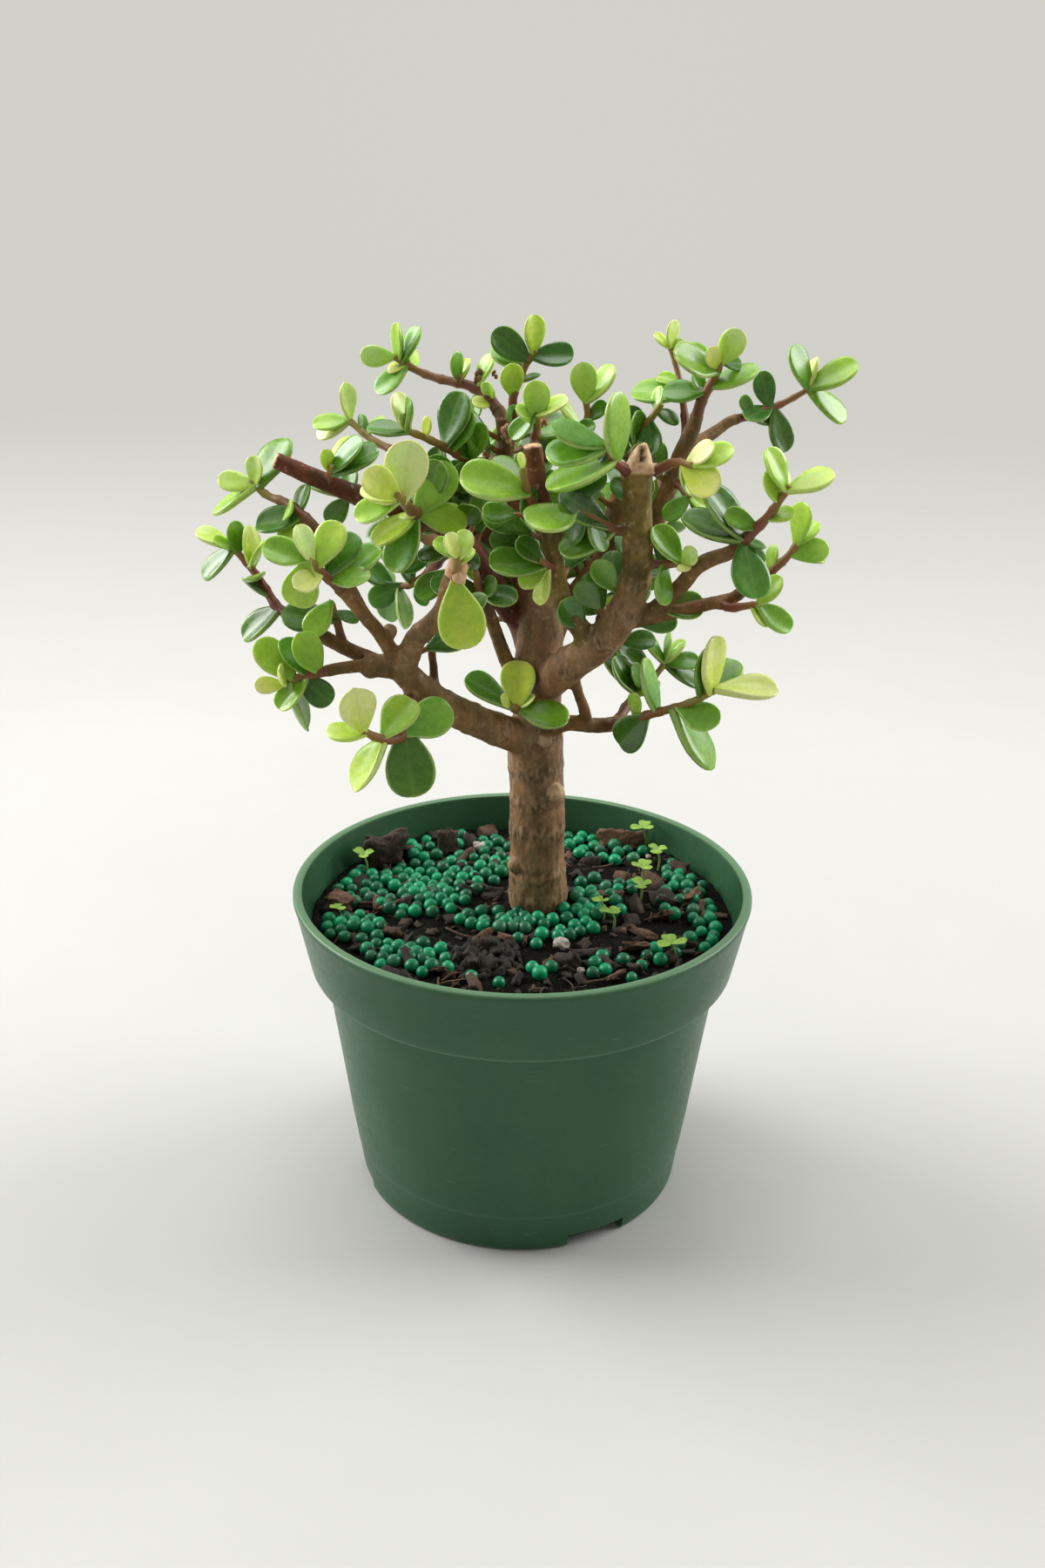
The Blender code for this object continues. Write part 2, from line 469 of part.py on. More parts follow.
def revolved(name, profile, sides):
    """A closed solid turned from (radius, height) points that start and end on the axis."""
    points = [Vector((0, 0, profile[0][1]))]
    for radius, height in profile[1:-1]:
        for i in range(sides):
            points.append(polar(radius, 360 * i / sides, height))
    points.append(Vector((0, 0, profile[-1][1])))
    last = len(points) - 1
    rings = len(profile) - 2
    faces = []
    for i in range(sides):
        j = (i + 1) % sides
        faces.append((0, 1 + j, 1 + i))
        faces.append((last, last - sides + i, last - sides + j))
        for k in range(rings - 1):
            a = 1 + k * sides
            b = a + sides
            faces.append((a + i, a + j, b + j, b + i))
    return mesh_object(name, points, faces)


def soil_height(x, y):
    wave = math.sin(x / 17 + 0.6) * math.cos(y / 19 - 0.4)
    return SOIL_LEVEL + 0.8 * wave


# Polylines


def lengths(points):
    total = [0.0]
    for a, b in zip(points, points[1:]):
        total.append(total[-1] + (b - a).length)
    return total


def along(points, distance):
    """The point and the direction at this distance along the points."""
    total = lengths(points)
    distance = min(max(distance, 0.0), total[-1])
    for i in range(len(points) - 1):
        if distance <= total[i + 1] or i == len(points) - 2:
            run = points[i + 1] - points[i]
            share = (distance - total[i]) / run.length
            return points[i] + run * share, run.normalized()


def stretch(points, start, end):
    """The piece of the polyline from start to end."""
    total = lengths(points)
    kept = [along(points, start)[0]]
    for point, distance in zip(points, total):
        if start + 0.4 < distance < end - 0.4:
            kept.append(point)
    kept.append(along(points, end)[0])
    return kept


def any_square_to(direction):
    across = Vector((0, 0, 1)).cross(direction)
    if across.length < 0.2:
        across = Vector((1, 0, 0)).cross(direction)
    return across.normalized()


def tube_mesh(points, radii, sides):
    """Points and faces of a round tube, its rings carried along without twist."""
    runs = [(b - a).normalized() for a, b in zip(points, points[1:])]
    tangents = [runs[0]]
    for a, b in zip(runs, runs[1:]):
        tangents.append((a + b).normalized())
    tangents.append(runs[-1])
    side = any_square_to(tangents[0])
    ring_points = []
    for point, radius, tangent in zip(points, radii, tangents):
        side = (side - tangent * side.dot(tangent)).normalized()
        other = tangent.cross(side)
        for i in range(sides):
            turn = 2 * math.pi * (i + 0.5) / sides
            ring_points.append(point + (side * math.cos(turn) + other * math.sin(turn)) * radius)
    faces = []
    for k in range(len(points) - 1):
        for i in range(sides):
            j = (i + 1) % sides
            a = k * sides
            b = a + sides
            faces.append((a + i, a + j, b + j, b + i))
    faces.append(tuple(reversed(range(sides))))
    faces.append(tuple(range(len(ring_points) - sides, len(ring_points))))
    return ring_points, faces


def tapered(points, start_radius, end_radius):
    total = lengths(points)
    return [start_radius + (end_radius - start_radius) * d / total[-1] for d in total]


# Leaves


def leaf_mesh(root, direction, normal, length, grow=0.0, start=0.0):
    """A thick blade of two four-cornered rings between two points. grow swells it, for a clearance test."""
    side = direction.cross(normal)
    heel = start * length if start else -0.6
    points = [root + direction * heel + normal * (0.07 * length * start * start)]
    stations = ((0.37, 1.0, 1.0), (0.76, 0.9, 0.85))
    for share, width, thick in stations:
        half_width = LEAF_HALF_WIDTH * length * width + grow
        half_thick = max(0.37, LEAF_HALF_THICKNESS * length) * thick + grow
        middle = root + direction * (length * share) + normal * (0.07 * length * share * share)
        points.append(middle - side * half_width)
        points.append(middle + normal * half_thick)
        points.append(middle + side * half_width)
        points.append(middle - normal * half_thick)
    points.append(root + direction * (length + grow) + normal * (0.07 * length))
    faces = []
    for i in range(4):
        j = (i + 1) % 4
        faces.append((0, 1 + j, 1 + i))
        faces.append((1 + i, 1 + j, 5 + j, 5 + i))
        faces.append((5 + i, 5 + j, 9))
    return points, faces


def tree_of(points, faces):
    return BVHTree.FromPolygons([tuple(p) for p in points], faces)


class Shape:
    """A placed stem or leaf, kept for the clearance tests."""

    def __init__(self, owner, points, faces):
        self.owner = owner
        self.low = [min(p[i] for p in points) for i in range(3)]
        self.high = [max(p[i] for p in points) for i in range(3)]
        self.tree = tree_of(points, faces)

    def near(self, other):
        return all(self.low[i] <= other.high[i] and other.low[i] <= self.high[i] for i in range(3))

    def meets(self, other):
        return self.near(other) and bool(self.tree.overlap(other.tree))


def nearest_share(route, across, up):
    """The depth of the route where it shows nearest to (across, up)."""
    best = (1e9, 0.0)
    for a, b in zip(route, route[1:]):
        run = Vector((b[0] - a[0], b[1] - a[1]))
        to = Vector((across - a[0], up - a[1]))
        share = min(max(to.dot(run) / max(run.length_squared, 1e-6), 0.0), 1.0)
        gap = (to - run * share).length
        if gap < best[0]:
            best = (gap, a[2] + (b[2] - a[2]) * share)
    return best[1]


def aimed_leaf(stem, tip, length, turn):
    """Root, direction, normal and length of a leaf whose tip lies near tip; turn is how far it is turned off the viewer."""
    reach = lengths(stem)[-1]
    best = None
    steps = 24
    for i in range(steps + 1):
        distance = 0.9 + (reach - 0.9) * i / steps
        point, tangent = along(stem, distance)
        gap = tip - point
        cost = abs(gap.length - length) + 1.2 * max(0.0, -gap.normalized().dot(tangent))
        if best is None or cost < best[0]:
            best = (cost, point, gap)
    _, root, gap = best
    direction = gap.normalized()
    fitted = min(max(gap.length, 0.85 * length), 1.12 * length)
    flat = SEEN_FROM - root
    flat = (flat - direction * flat.dot(direction)).normalized()
    upward = direction.cross(flat)
    if upward.z < 0:
        upward = -upward
    turn = math.radians(turn)
    return root, direction, flat * math.cos(turn) + upward * math.sin(turn), fitted


def paired_leaves(stem, pairs, roll, rng):
    """Opposite pairs, each turned a quarter from the one before, smaller towards the tip."""
    reach = lengths(stem)[-1]
    leaves = []
    for k in range(pairs):
        share = (k + 0.6) / pairs
        root, tangent = along(stem, reach * share)
        side = any_square_to(tangent)
        turn = Matrix.Rotation(math.radians(roll + 90 * k + rng.uniform(-12, 12)), 3, tangent)
        side = turn @ side
        tilt = math.radians(62 - 26 * share + rng.uniform(-6, 6))
        length = LEAF_LENGTH * (1.0 - 0.24 * share) * rng.uniform(0.92, 1.06)
        for way in (1, -1):
            direction = (tangent * math.cos(tilt) + side * (way * math.sin(tilt))).normalized()
            normal = (tangent - direction * tangent.dot(direction)).normalized()
            leaves.append((root, direction, normal, length))
    return leaves


TRIES = [(0, 0, 1.0)] + [
    (deep, flat, scale)
    for scale in (1.0, 0.93, 0.85, 0.75)
    for deep, flat in ((8, 0), (-8, 0), (16, 0), (-16, 0), (0, 6), (0, -6), (12, 8), (-12, 8), (12, -8),
                       (-12, -8), (26, 0), (-26, 0), (0, 13), (0, -13), (24, 10), (-24, 10), (24, -10),
                       (-24, -10), (38, 0), (-38, 0), (36, 14), (-36, 14), (36, -14), (-36, -14))
]


def settled_leaf(owner, leaf, placed, own):
    """The leaf turned a little, or made smaller, until it is clear of what is placed; None if it can't be."""
    root, direction, normal, length = leaf
    viewed = (SEEN_FROM - root).normalized()
    hinge = direction.cross(viewed).normalized()
    spare = None
    for deep, flat, scale in TRIES:
        turn = Matrix.Rotation(math.radians(flat), 3, viewed) @ Matrix.Rotation(math.radians(deep), 3, hinge)
        tried = (root, turn @ direction, turn @ normal, length * scale)
        shape = Shape(owner, *leaf_mesh(*tried, grow=LEAF_CLEARANCE))
        if any(shape.meets(other) for other in placed if other.owner != owner):
            continue
        if spare is None:
            spare = tried
        outer = Shape(owner, *leaf_mesh(*tried, start=0.3))
        if any(outer.meets(other) for other in own):
            continue
        return tried
    return spare


def laid_out():
    """Every wood tube, and every shoot's stem and settled leaves."""
    tubes = []
    for name, (sides, *knots) in LIMBS.items():
        points = [seen(*knot[:3]) for knot in knots]
        radii = [knot[3] for knot in knots]
        if name == "trunk":
            foot = Vector(TRUNK_FOOT)
            points = [foot, Vector((foot.x, foot.y, 73.0)), *points[1:]]
            radii = [TRUNK_FOOT_RADIUS, TRUNK_FOOT_RADIUS, *radii[1:]]
        tubes.append((points, radii, sides))
    stems = {}
    for name, (parent_radius, start_radius, end_radius, route, _) in SHOOTS.items():
        points = [seen(*knot) for knot in route]
        spur = stretch(points, 0.0, parent_radius + 1.2)
        tubes.append((spur, [start_radius * 1.12] * len(spur), TWIG_SIDES))
        stem = stretch(points, parent_radius + 1.2 + NODE_GAP, lengths(points)[-1])
        stems[name] = (stem, tapered(stem, start_radius, end_radius))
    placed = [Shape("wood", *tube_mesh(*tube)) for tube in tubes]
    for name, (stem, radii) in stems.items():
        placed.append(Shape(name, *tube_mesh(stem, radii, STEM_SIDES)))
    leaves = {}
    for index, (name, (_, _, _, route, wanted)) in enumerate(SHOOTS.items()):
        rng = random.Random(40 + index)
        stem = stems[name][0]
        if wanted:
            asked = []
            for across, up, back, length, turn in wanted:
                depth = nearest_share(route, across, up) + back
                asked.append(aimed_leaf(stem, seen(across, up, depth), length, turn))
        else:
            asked = paired_leaves(stem, BACK_PAIRS, rng.uniform(0, 90), rng)
        own = []
        leaves[name] = []
        for leaf in asked:
            settled = settled_leaf(name, leaf, placed, own)
            if settled is None:
                continue
            leaves[name].append(settled)
            placed.append(Shape(name, *leaf_mesh(*settled)))
            own.append(Shape(name, *leaf_mesh(*settled, start=0.3)))
    return tubes, stems, leaves


# The nodes


def add_pot(material):
    half = BASE_RADIUS / POT_HEIGHT
    inner_foot = BASE_RADIUS + half * 0.02 - POT_WALL
    profile = [
        (0.0, 0.0),
        (BASE_RADIUS - 0.7, 0.0),
        (BASE_RADIUS, 0.7),
        (UNDER_LIP_RADIUS, LIP_BOTTOM + 0.1),
        (LIP_BOTTOM_RADIUS, LIP_BOTTOM),
        (RIM_RADIUS, POT_HEIGHT - 1.2),
        (RIM_RADIUS - 0.6, POT_HEIGHT),
        (RIM_INSIDE_RADIUS + 0.4, POT_HEIGHT),
        (RIM_INSIDE_RADIUS, POT_HEIGHT - 0.6),
        (LIP_BOTTOM_RADIUS - 1.9, LIP_BOTTOM + 1.5),
        (UNDER_LIP_RADIUS - POT_WALL, LIP_BOTTOM - 0.9),
        (inner_foot, FLOOR_THICKNESS),
        (0.0, FLOOR_THICKNESS),
    ]
    pot = revolved("pot", profile, POT_SIDES)
    cutters = []
    for azimuth in SLOT_AZIMUTHS:
        corners = []
        for height in (-2.0, SLOT_HEIGHT):
            corners.append(polar(BASE_RADIUS - 3.6, azimuth - SLOT_HALF_ANGLE, height))
            corners.append(polar(BASE_RADIUS + 4.5, azimuth - SLOT_HALF_ANGLE, height))
            corners.append(polar(BASE_RADIUS + 5.3, azimuth, height))
            corners.append(polar(BASE_RADIUS + 4.5, azimuth + SLOT_HALF_ANGLE, height))
            corners.append(polar(BASE_RADIUS - 3.6, azimuth + SLOT_HALF_ANGLE, height))
        faces = [(4, 3, 2, 1, 0), (5, 6, 7, 8, 9)]
        for i in range(5):
            j = (i + 1) % 5
            faces.append((i, j, 5 + j, 5 + i))
        cutters.append(mesh_object("slot_cutter", corners, faces))
    apply_boolean(pot, "DIFFERENCE", cutters)
    return finish(pot, material, 30)


def add_potting_mix(material):
    wall = UNDER_LIP_RADIUS - POT_WALL - SOIL_GAP
    foot = BASE_RADIUS - POT_WALL - SOIL_GAP
    inside = LIP_BOTTOM_RADIUS - 1.9 - SOIL_GAP
    rise = (RIM_INSIDE_RADIUS - LIP_BOTTOM_RADIUS + 1.9) / (POT_HEIGHT - 0.6 - LIP_BOTTOM - 1.5)
    edge = inside + rise * (SOIL_LEVEL - 1.2 - LIP_BOTTOM - 1.5)
    profile = [
        (0.0, FLOOR_THICKNESS + NODE_GAP),
        (foot, FLOOR_THICKNESS + NODE_GAP),
        (wall, LIP_BOTTOM - 0.6),
        (inside, LIP_BOTTOM + 1.9),
        (edge, SOIL_LEVEL - 1.2),
        (edge - 1.0, SOIL_LEVEL),
        (43.0, SOIL_LEVEL),
        (33.0, SOIL_LEVEL),
        (22.0, SOIL_LEVEL),
        (11.0, SOIL_LEVEL),
        (0.0, SOIL_LEVEL),
    ]
    mix = revolved("potting_mix", profile, POT_SIDES)
    for vertex in mix.data.vertices:
        x = vertex.co.x / MM
        y = vertex.co.y / MM
        if vertex.co.z > (SOIL_LEVEL - 0.1) * MM:
            vertex.co.z = soil_height(x, y) * MM
    trunk_hole = TRUNK_FOOT_RADIUS / math.cos(math.pi / TRUNK_SIDES) + 0.25
    foot_point = Vector(TRUNK_FOOT)
    hole = [foot_point - Vector((0, 0, NODE_GAP)), foot_point + Vector((0, 0, 40))]
    cutters = [mesh_object("trunk_hole", *tube_mesh(hole, [trunk_hole] * 2, TRUNK_SIDES))]
    for x, y, _, _ in SEEDLINGS.values():
        level = soil_height(x, y)
        hole = [Vector((x, y, level - 4.3)), Vector((x, y, level + 4))]
        radius = SEEDLING_STEM_RADIUS + NODE_GAP + 0.1
        cutters.append(mesh_object("stem_hole", *tube_mesh(hole, [radius] * 2, SEEDLING_SIDES)))
    apply_boolean(mix, "DIFFERENCE", cutters)
    return finish(mix, material, 40)


def keep_largest_body(thing):
    """Drops the closed pockets that leaves can shut in between them."""
    mesh = thing.data
    parent = list(range(len(mesh.vertices)))

    def head(i):
        while parent[i] != i:
            parent[i] = parent[parent[i]]
            i = parent[i]
        return i

    for edge in mesh.edges:
        a, b = (head(i) for i in edge.vertices)
        parent[a] = b
    volumes = {}
    for face in mesh.polygons:
        corners = [mesh.vertices[i].co for i in face.vertices]
        whole = sum(corners[0].dot(a.cross(b)) for a, b in zip(corners[1:], corners[2:]))
        body = head(face.vertices[0])
        volumes[body] = volumes.get(body, 0.0) + whole
    if len(volumes) == 1:
        return
    largest = max(volumes, key=volumes.get)
    print(thing.name, "bodies:", sorted(round(v / 6e-9, 3) for v in volumes.values()))
    kept = [face for face in mesh.polygons if head(face.vertices[0]) == largest]
    used = sorted({i for face in kept for i in face.vertices})
    order = {old: new for new, old in enumerate(used)}
    points = [tuple(mesh.vertices[i].co) for i in used]
    faces = [[order[i] for i in face.vertices] for face in kept]
    cleaned = bpy.data.meshes.new(thing.name)
    cleaned.from_pydata(points, [], faces)
    thing.data = cleaned


def united(name, meshes, material, sharp_degrees):
    first = mesh_object(name, *meshes[0])
    others = [mesh_object("piece", *mesh) for mesh in meshes[1:]]
    if others:
        apply_boolean(first, "UNION", others, "MANIFOLD")
        keep_largest_body(first)
    return finish(first, material, sharp_degrees)


def add_wood(tubes, material):
    return united("trunk_and_limbs", [tube_mesh(*tube) for tube in tubes], material, 50)


def add_shoot(name, stem, radii, leaves, material):
    meshes = [tube_mesh(stem, radii, STEM_SIDES)]
    meshes += [leaf_mesh(*leaf) for leaf in leaves]
    return united(name, meshes, material, 40)


def ball_mesh(centre, radius, rng):
    """A twenty-sided ball, turned at random."""
    golden = (1 + math.sqrt(5)) / 2
    corners = []
    for a in (-1, 1):
        for b in (-golden, golden):
            corners += [Vector((0, a, b)), Vector((a, b, 0)), Vector((b, 0, a))]
    turn = Matrix.Rotation(rng.uniform(0, 6.28), 3, "Z") @ Matrix.Rotation(rng.uniform(0, 6.28), 3, "X")
    faces = []
    for i in range(12):
        for j in range(i + 1, 12):
            for k in range(j + 1, 12):
                a, b, c = corners[i], corners[j], corners[k]
                if max((a - b).length, (b - c).length, (c - a).length) > 2.1:
                    continue
                outward = (b - a).cross(c - a).dot(a + b + c) > 0
                faces.append((i, j, k) if outward else (i, k, j))
    points = [centre + turn @ corner.normalized() * radius for corner in corners]
    return points, faces


def bed_places(x, y, count):
    """Places of the prills of one bed: the nearest ones to its centre on a honeycomb."""
    places = []
    for row in range(-6, 7):
        for column in range(-6, 7):
            px = x + PRILL_SPACING * (column + 0.5 * (row % 2))
            py = y + PRILL_SPACING * 0.866 * row
            from_trunk = math.hypot(px - TRUNK_FOOT[0], py - TRUNK_FOOT[1])
            if from_trunk < TRUNK_FOOT_RADIUS + PRILL_RADIUS + 0.6:
                continue
            if math.hypot(px, py) > 49.5:
                continue
            places.append((math.hypot((px - x) * 0.8, py - y), px, py))
    return [(px, py) for _, px, py in sorted(places)[:count]]


def add_prills(name, x, y, count, material, seed):
    rng = random.Random(seed)
    meshes = []
    for px, py in bed_places(x, y, count):
        radius = PRILL_RADIUS * rng.uniform(0.98, 1.06)
        centre = Vector((px, py, soil_height(px, py) + NODE_GAP + radius))
        meshes.append(ball_mesh(centre, radius, rng))
    return united(name, meshes, material, 20)


def add_chip(name, x, y, long, deep, tall, turn, lean, material, seed):
    """A broken flake of bark: a block with uneven corners that rests on the mix."""
    rng = random.Random(seed)
    spin = Matrix.Rotation(math.radians(turn), 3, "Z")
    points = []
    for layer in (0, 1):
        slide = math.tan(math.radians(lean)) * tall * layer
        for a, b in ((-1, -1), (1, -1), (1, 1), (-1, 1)):
            shrink = rng.uniform(0.62, 0.98) if layer else 1.0
            flat = Vector((a * long / 2 * shrink, b * deep / 2 * shrink + slide, 0))
            place = spin @ flat + Vector((x, y, 0))
            base = soil_height(x, y) + NODE_GAP + 0.25
            points.append(Vector((place.x, place.y, base + layer * tall * rng.uniform(0.75, 1.0))))
    faces = [(3, 2, 1, 0), (4, 5, 6, 7), (0, 1, 5, 4), (1, 2, 6, 5), (2, 3, 7, 6), (3, 0, 4, 7)]
    return finish(mesh_object(name, points, faces), material, 20)


def leaflet_mesh(root, direction, length):
    """A round three-millimetre leaflet, flat and 0.7 thick."""
    side = direction.cross(Vector((0, 0, 1))).normalized()
    up = side.cross(direction).normalized()
    rim = ((0.0, 0.12), (0.35, 0.45), (0.75, 0.5), (1.0, 0.22))
    outline = [root + direction * (length * a) - side * (length * b) for a, b in rim]
    outline += [root + direction * (length * a) + side * (length * b) for a, b in reversed(rim)]
    points = [p - up * 0.35 for p in outline] + [p + up * 0.35 for p in outline]
    count = len(outline)
    faces = [tuple(reversed(range(count))), tuple(range(count, 2 * count))]
    for i in range(count):
        j = (i + 1) % count
        faces.append((i, j, count + j, count + i))
    centre = sum(points, Vector()) / len(points)
    a, b, c = (points[i] for i in faces[0][:3])
    if (b - a).cross(c - a).dot(a - centre) < 0:
        faces = [tuple(reversed(face)) for face in faces]
    return points, faces


def add_seedling(name, x, y, height, turn, material):
    level = soil_height(x, y)
    top = Vector((x, y, level + height))
    stem = [Vector((x, y, level - 4.0)), top + Vector((0, 0, 0.3))]
    meshes = [tube_mesh(stem, [SEEDLING_STEM_RADIUS] * 2, SEEDLING_SIDES)]
    for k in range(3):
        angle = math.radians(turn + 120 * k)
        direction = Vector((math.cos(angle), math.sin(angle), 0.15)).normalized()
        meshes.append(leaflet_mesh(top, direction, 3.4))
    return united(name, meshes, material, 40)


def main():
    clear_scene()
    tubes, stems, leaves = laid_out()
    plastic = plain_material("pot_plastic", (0.10, 0.20, 0.11), 0.45)
    mix = plain_material("mix_dark", (0.02, 0.017, 0.013), 0.9)
    wood = plain_material("bark_tan", (0.27, 0.18, 0.11), 0.7)
    leaf = plain_material("leaf_green", (0.22, 0.42, 0.08), 0.4)
    prill = plain_material("prill_green", (0.0, 0.22, 0.10), 0.4)
    flake = plain_material("flake_brown", (0.12, 0.06, 0.04), 0.8)
    clover = plain_material("clover_green", (0.25, 0.5, 0.08), 0.5)
    add_pot(plastic)
    add_potting_mix(mix)
    add_wood(tubes, wood)
    for name, (stem, radii) in stems.items():
        add_shoot(name, stem, radii, leaves[name], leaf)
    for index, (name, bed) in enumerate(PRILL_BEDS.items()):
        add_prills(name, *bed, prill, 70 + index)
    for index, (name, chip) in enumerate(CHIPS.items()):
        add_chip(name, *chip, flake, 90 + index)
    for name, seedling in SEEDLINGS.items():
        add_seedling(name, *seedling, clover)
    asked = sum(len(shoot[4]) or 2 * BACK_PAIRS for shoot in SHOOTS.values())
    print("leaves placed:", sum(len(found) for found in leaves.values()), "of", asked)


main()
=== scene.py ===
"""The looks of a dwarf jade grown as a small tree in a green nursery pot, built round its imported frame.
Layout numbers are millimetres; every mesh is made in metres. +Z is up and the front faces -Y."""

import json
import math
import random

import bmesh
import bpy
import numpy as np
from mathutils import Matrix, Vector, noise
from mathutils.bvhtree import BVHTree

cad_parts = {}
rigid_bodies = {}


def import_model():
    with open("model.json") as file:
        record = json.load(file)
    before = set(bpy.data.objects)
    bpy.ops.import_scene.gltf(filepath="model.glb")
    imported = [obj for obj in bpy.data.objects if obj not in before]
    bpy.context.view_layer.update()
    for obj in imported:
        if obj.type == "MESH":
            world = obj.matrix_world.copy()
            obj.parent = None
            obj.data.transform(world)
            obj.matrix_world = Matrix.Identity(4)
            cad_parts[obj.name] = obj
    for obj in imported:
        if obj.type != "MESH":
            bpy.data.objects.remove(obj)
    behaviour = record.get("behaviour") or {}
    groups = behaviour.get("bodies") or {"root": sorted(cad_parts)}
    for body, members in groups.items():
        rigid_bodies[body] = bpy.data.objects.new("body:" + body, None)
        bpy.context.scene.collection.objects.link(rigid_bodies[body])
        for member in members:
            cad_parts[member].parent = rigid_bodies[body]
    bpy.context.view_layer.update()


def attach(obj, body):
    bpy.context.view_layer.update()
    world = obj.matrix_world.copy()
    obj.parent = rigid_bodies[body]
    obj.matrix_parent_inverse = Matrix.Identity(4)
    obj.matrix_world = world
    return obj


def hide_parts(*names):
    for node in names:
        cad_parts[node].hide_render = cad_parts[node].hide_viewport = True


MM = 0.001

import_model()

POT_HEIGHT = 81.0
RIM_RADIUS = 57.15
RIM_INSIDE_RADIUS = 54.8
LIP_BOTTOM = 61.7
LIP_BOTTOM_RADIUS = 53.3
UNDER_LIP_RADIUS = 49.9
BASE_RADIUS = 41.2
POT_WALL = 1.3
FLOOR_THICKNESS = 1.6
FOOT_LEDGE = 11.0
SLOT_HEIGHT = 3.7
SLOT_HALF_ANGLE = 11.0
SLOT_AZIMUTHS = (28.0, 148.0, -76.0)

SOIL_LEVEL = 72.2
MIX_EDGE = 51.0
BED_EDGE = 49.5
NODE_GAP = 0.3

TWIG_SIDES = 5
STEM_SIDES = 4
TRUNK_FOOT = (4.0, 6.0, 50.0)
TRUNK_FOOT_RADIUS = 7.4
TRUNK_COLLAR = 73.0
SPUR_LENGTH = 1.2
SPUR_SWELL = 1.12

LEAF_LENGTH = 10.0
LEAF_HALF_WIDTH = 0.355
LEAF_HALF_THICKNESS = 0.086
LEAF_LEAST_HALF = 0.37
LEAF_ARCH = 0.07
LEAF_CLEARANCE = 0.32

PRILL_RADIUS = 1.85
PRILL_SPACING = 2.85

# The layout is read on the upright plane through the trunk, as seen from one point in front and above.
SEEN_FROM = Vector((-0.3, -368.7, 262.6))


def seen(across, up, back):
    """The point that shows at (across, up) on the upright plane and lies back millimetres behind it."""
    t = (back - SEEN_FROM.y) / -SEEN_FROM.y
    x = SEEN_FROM.x + t * (across - SEEN_FROM.x)
    z = SEEN_FROM.z + t * (up - SEEN_FROM.z)
    return Vector((x, back, z))


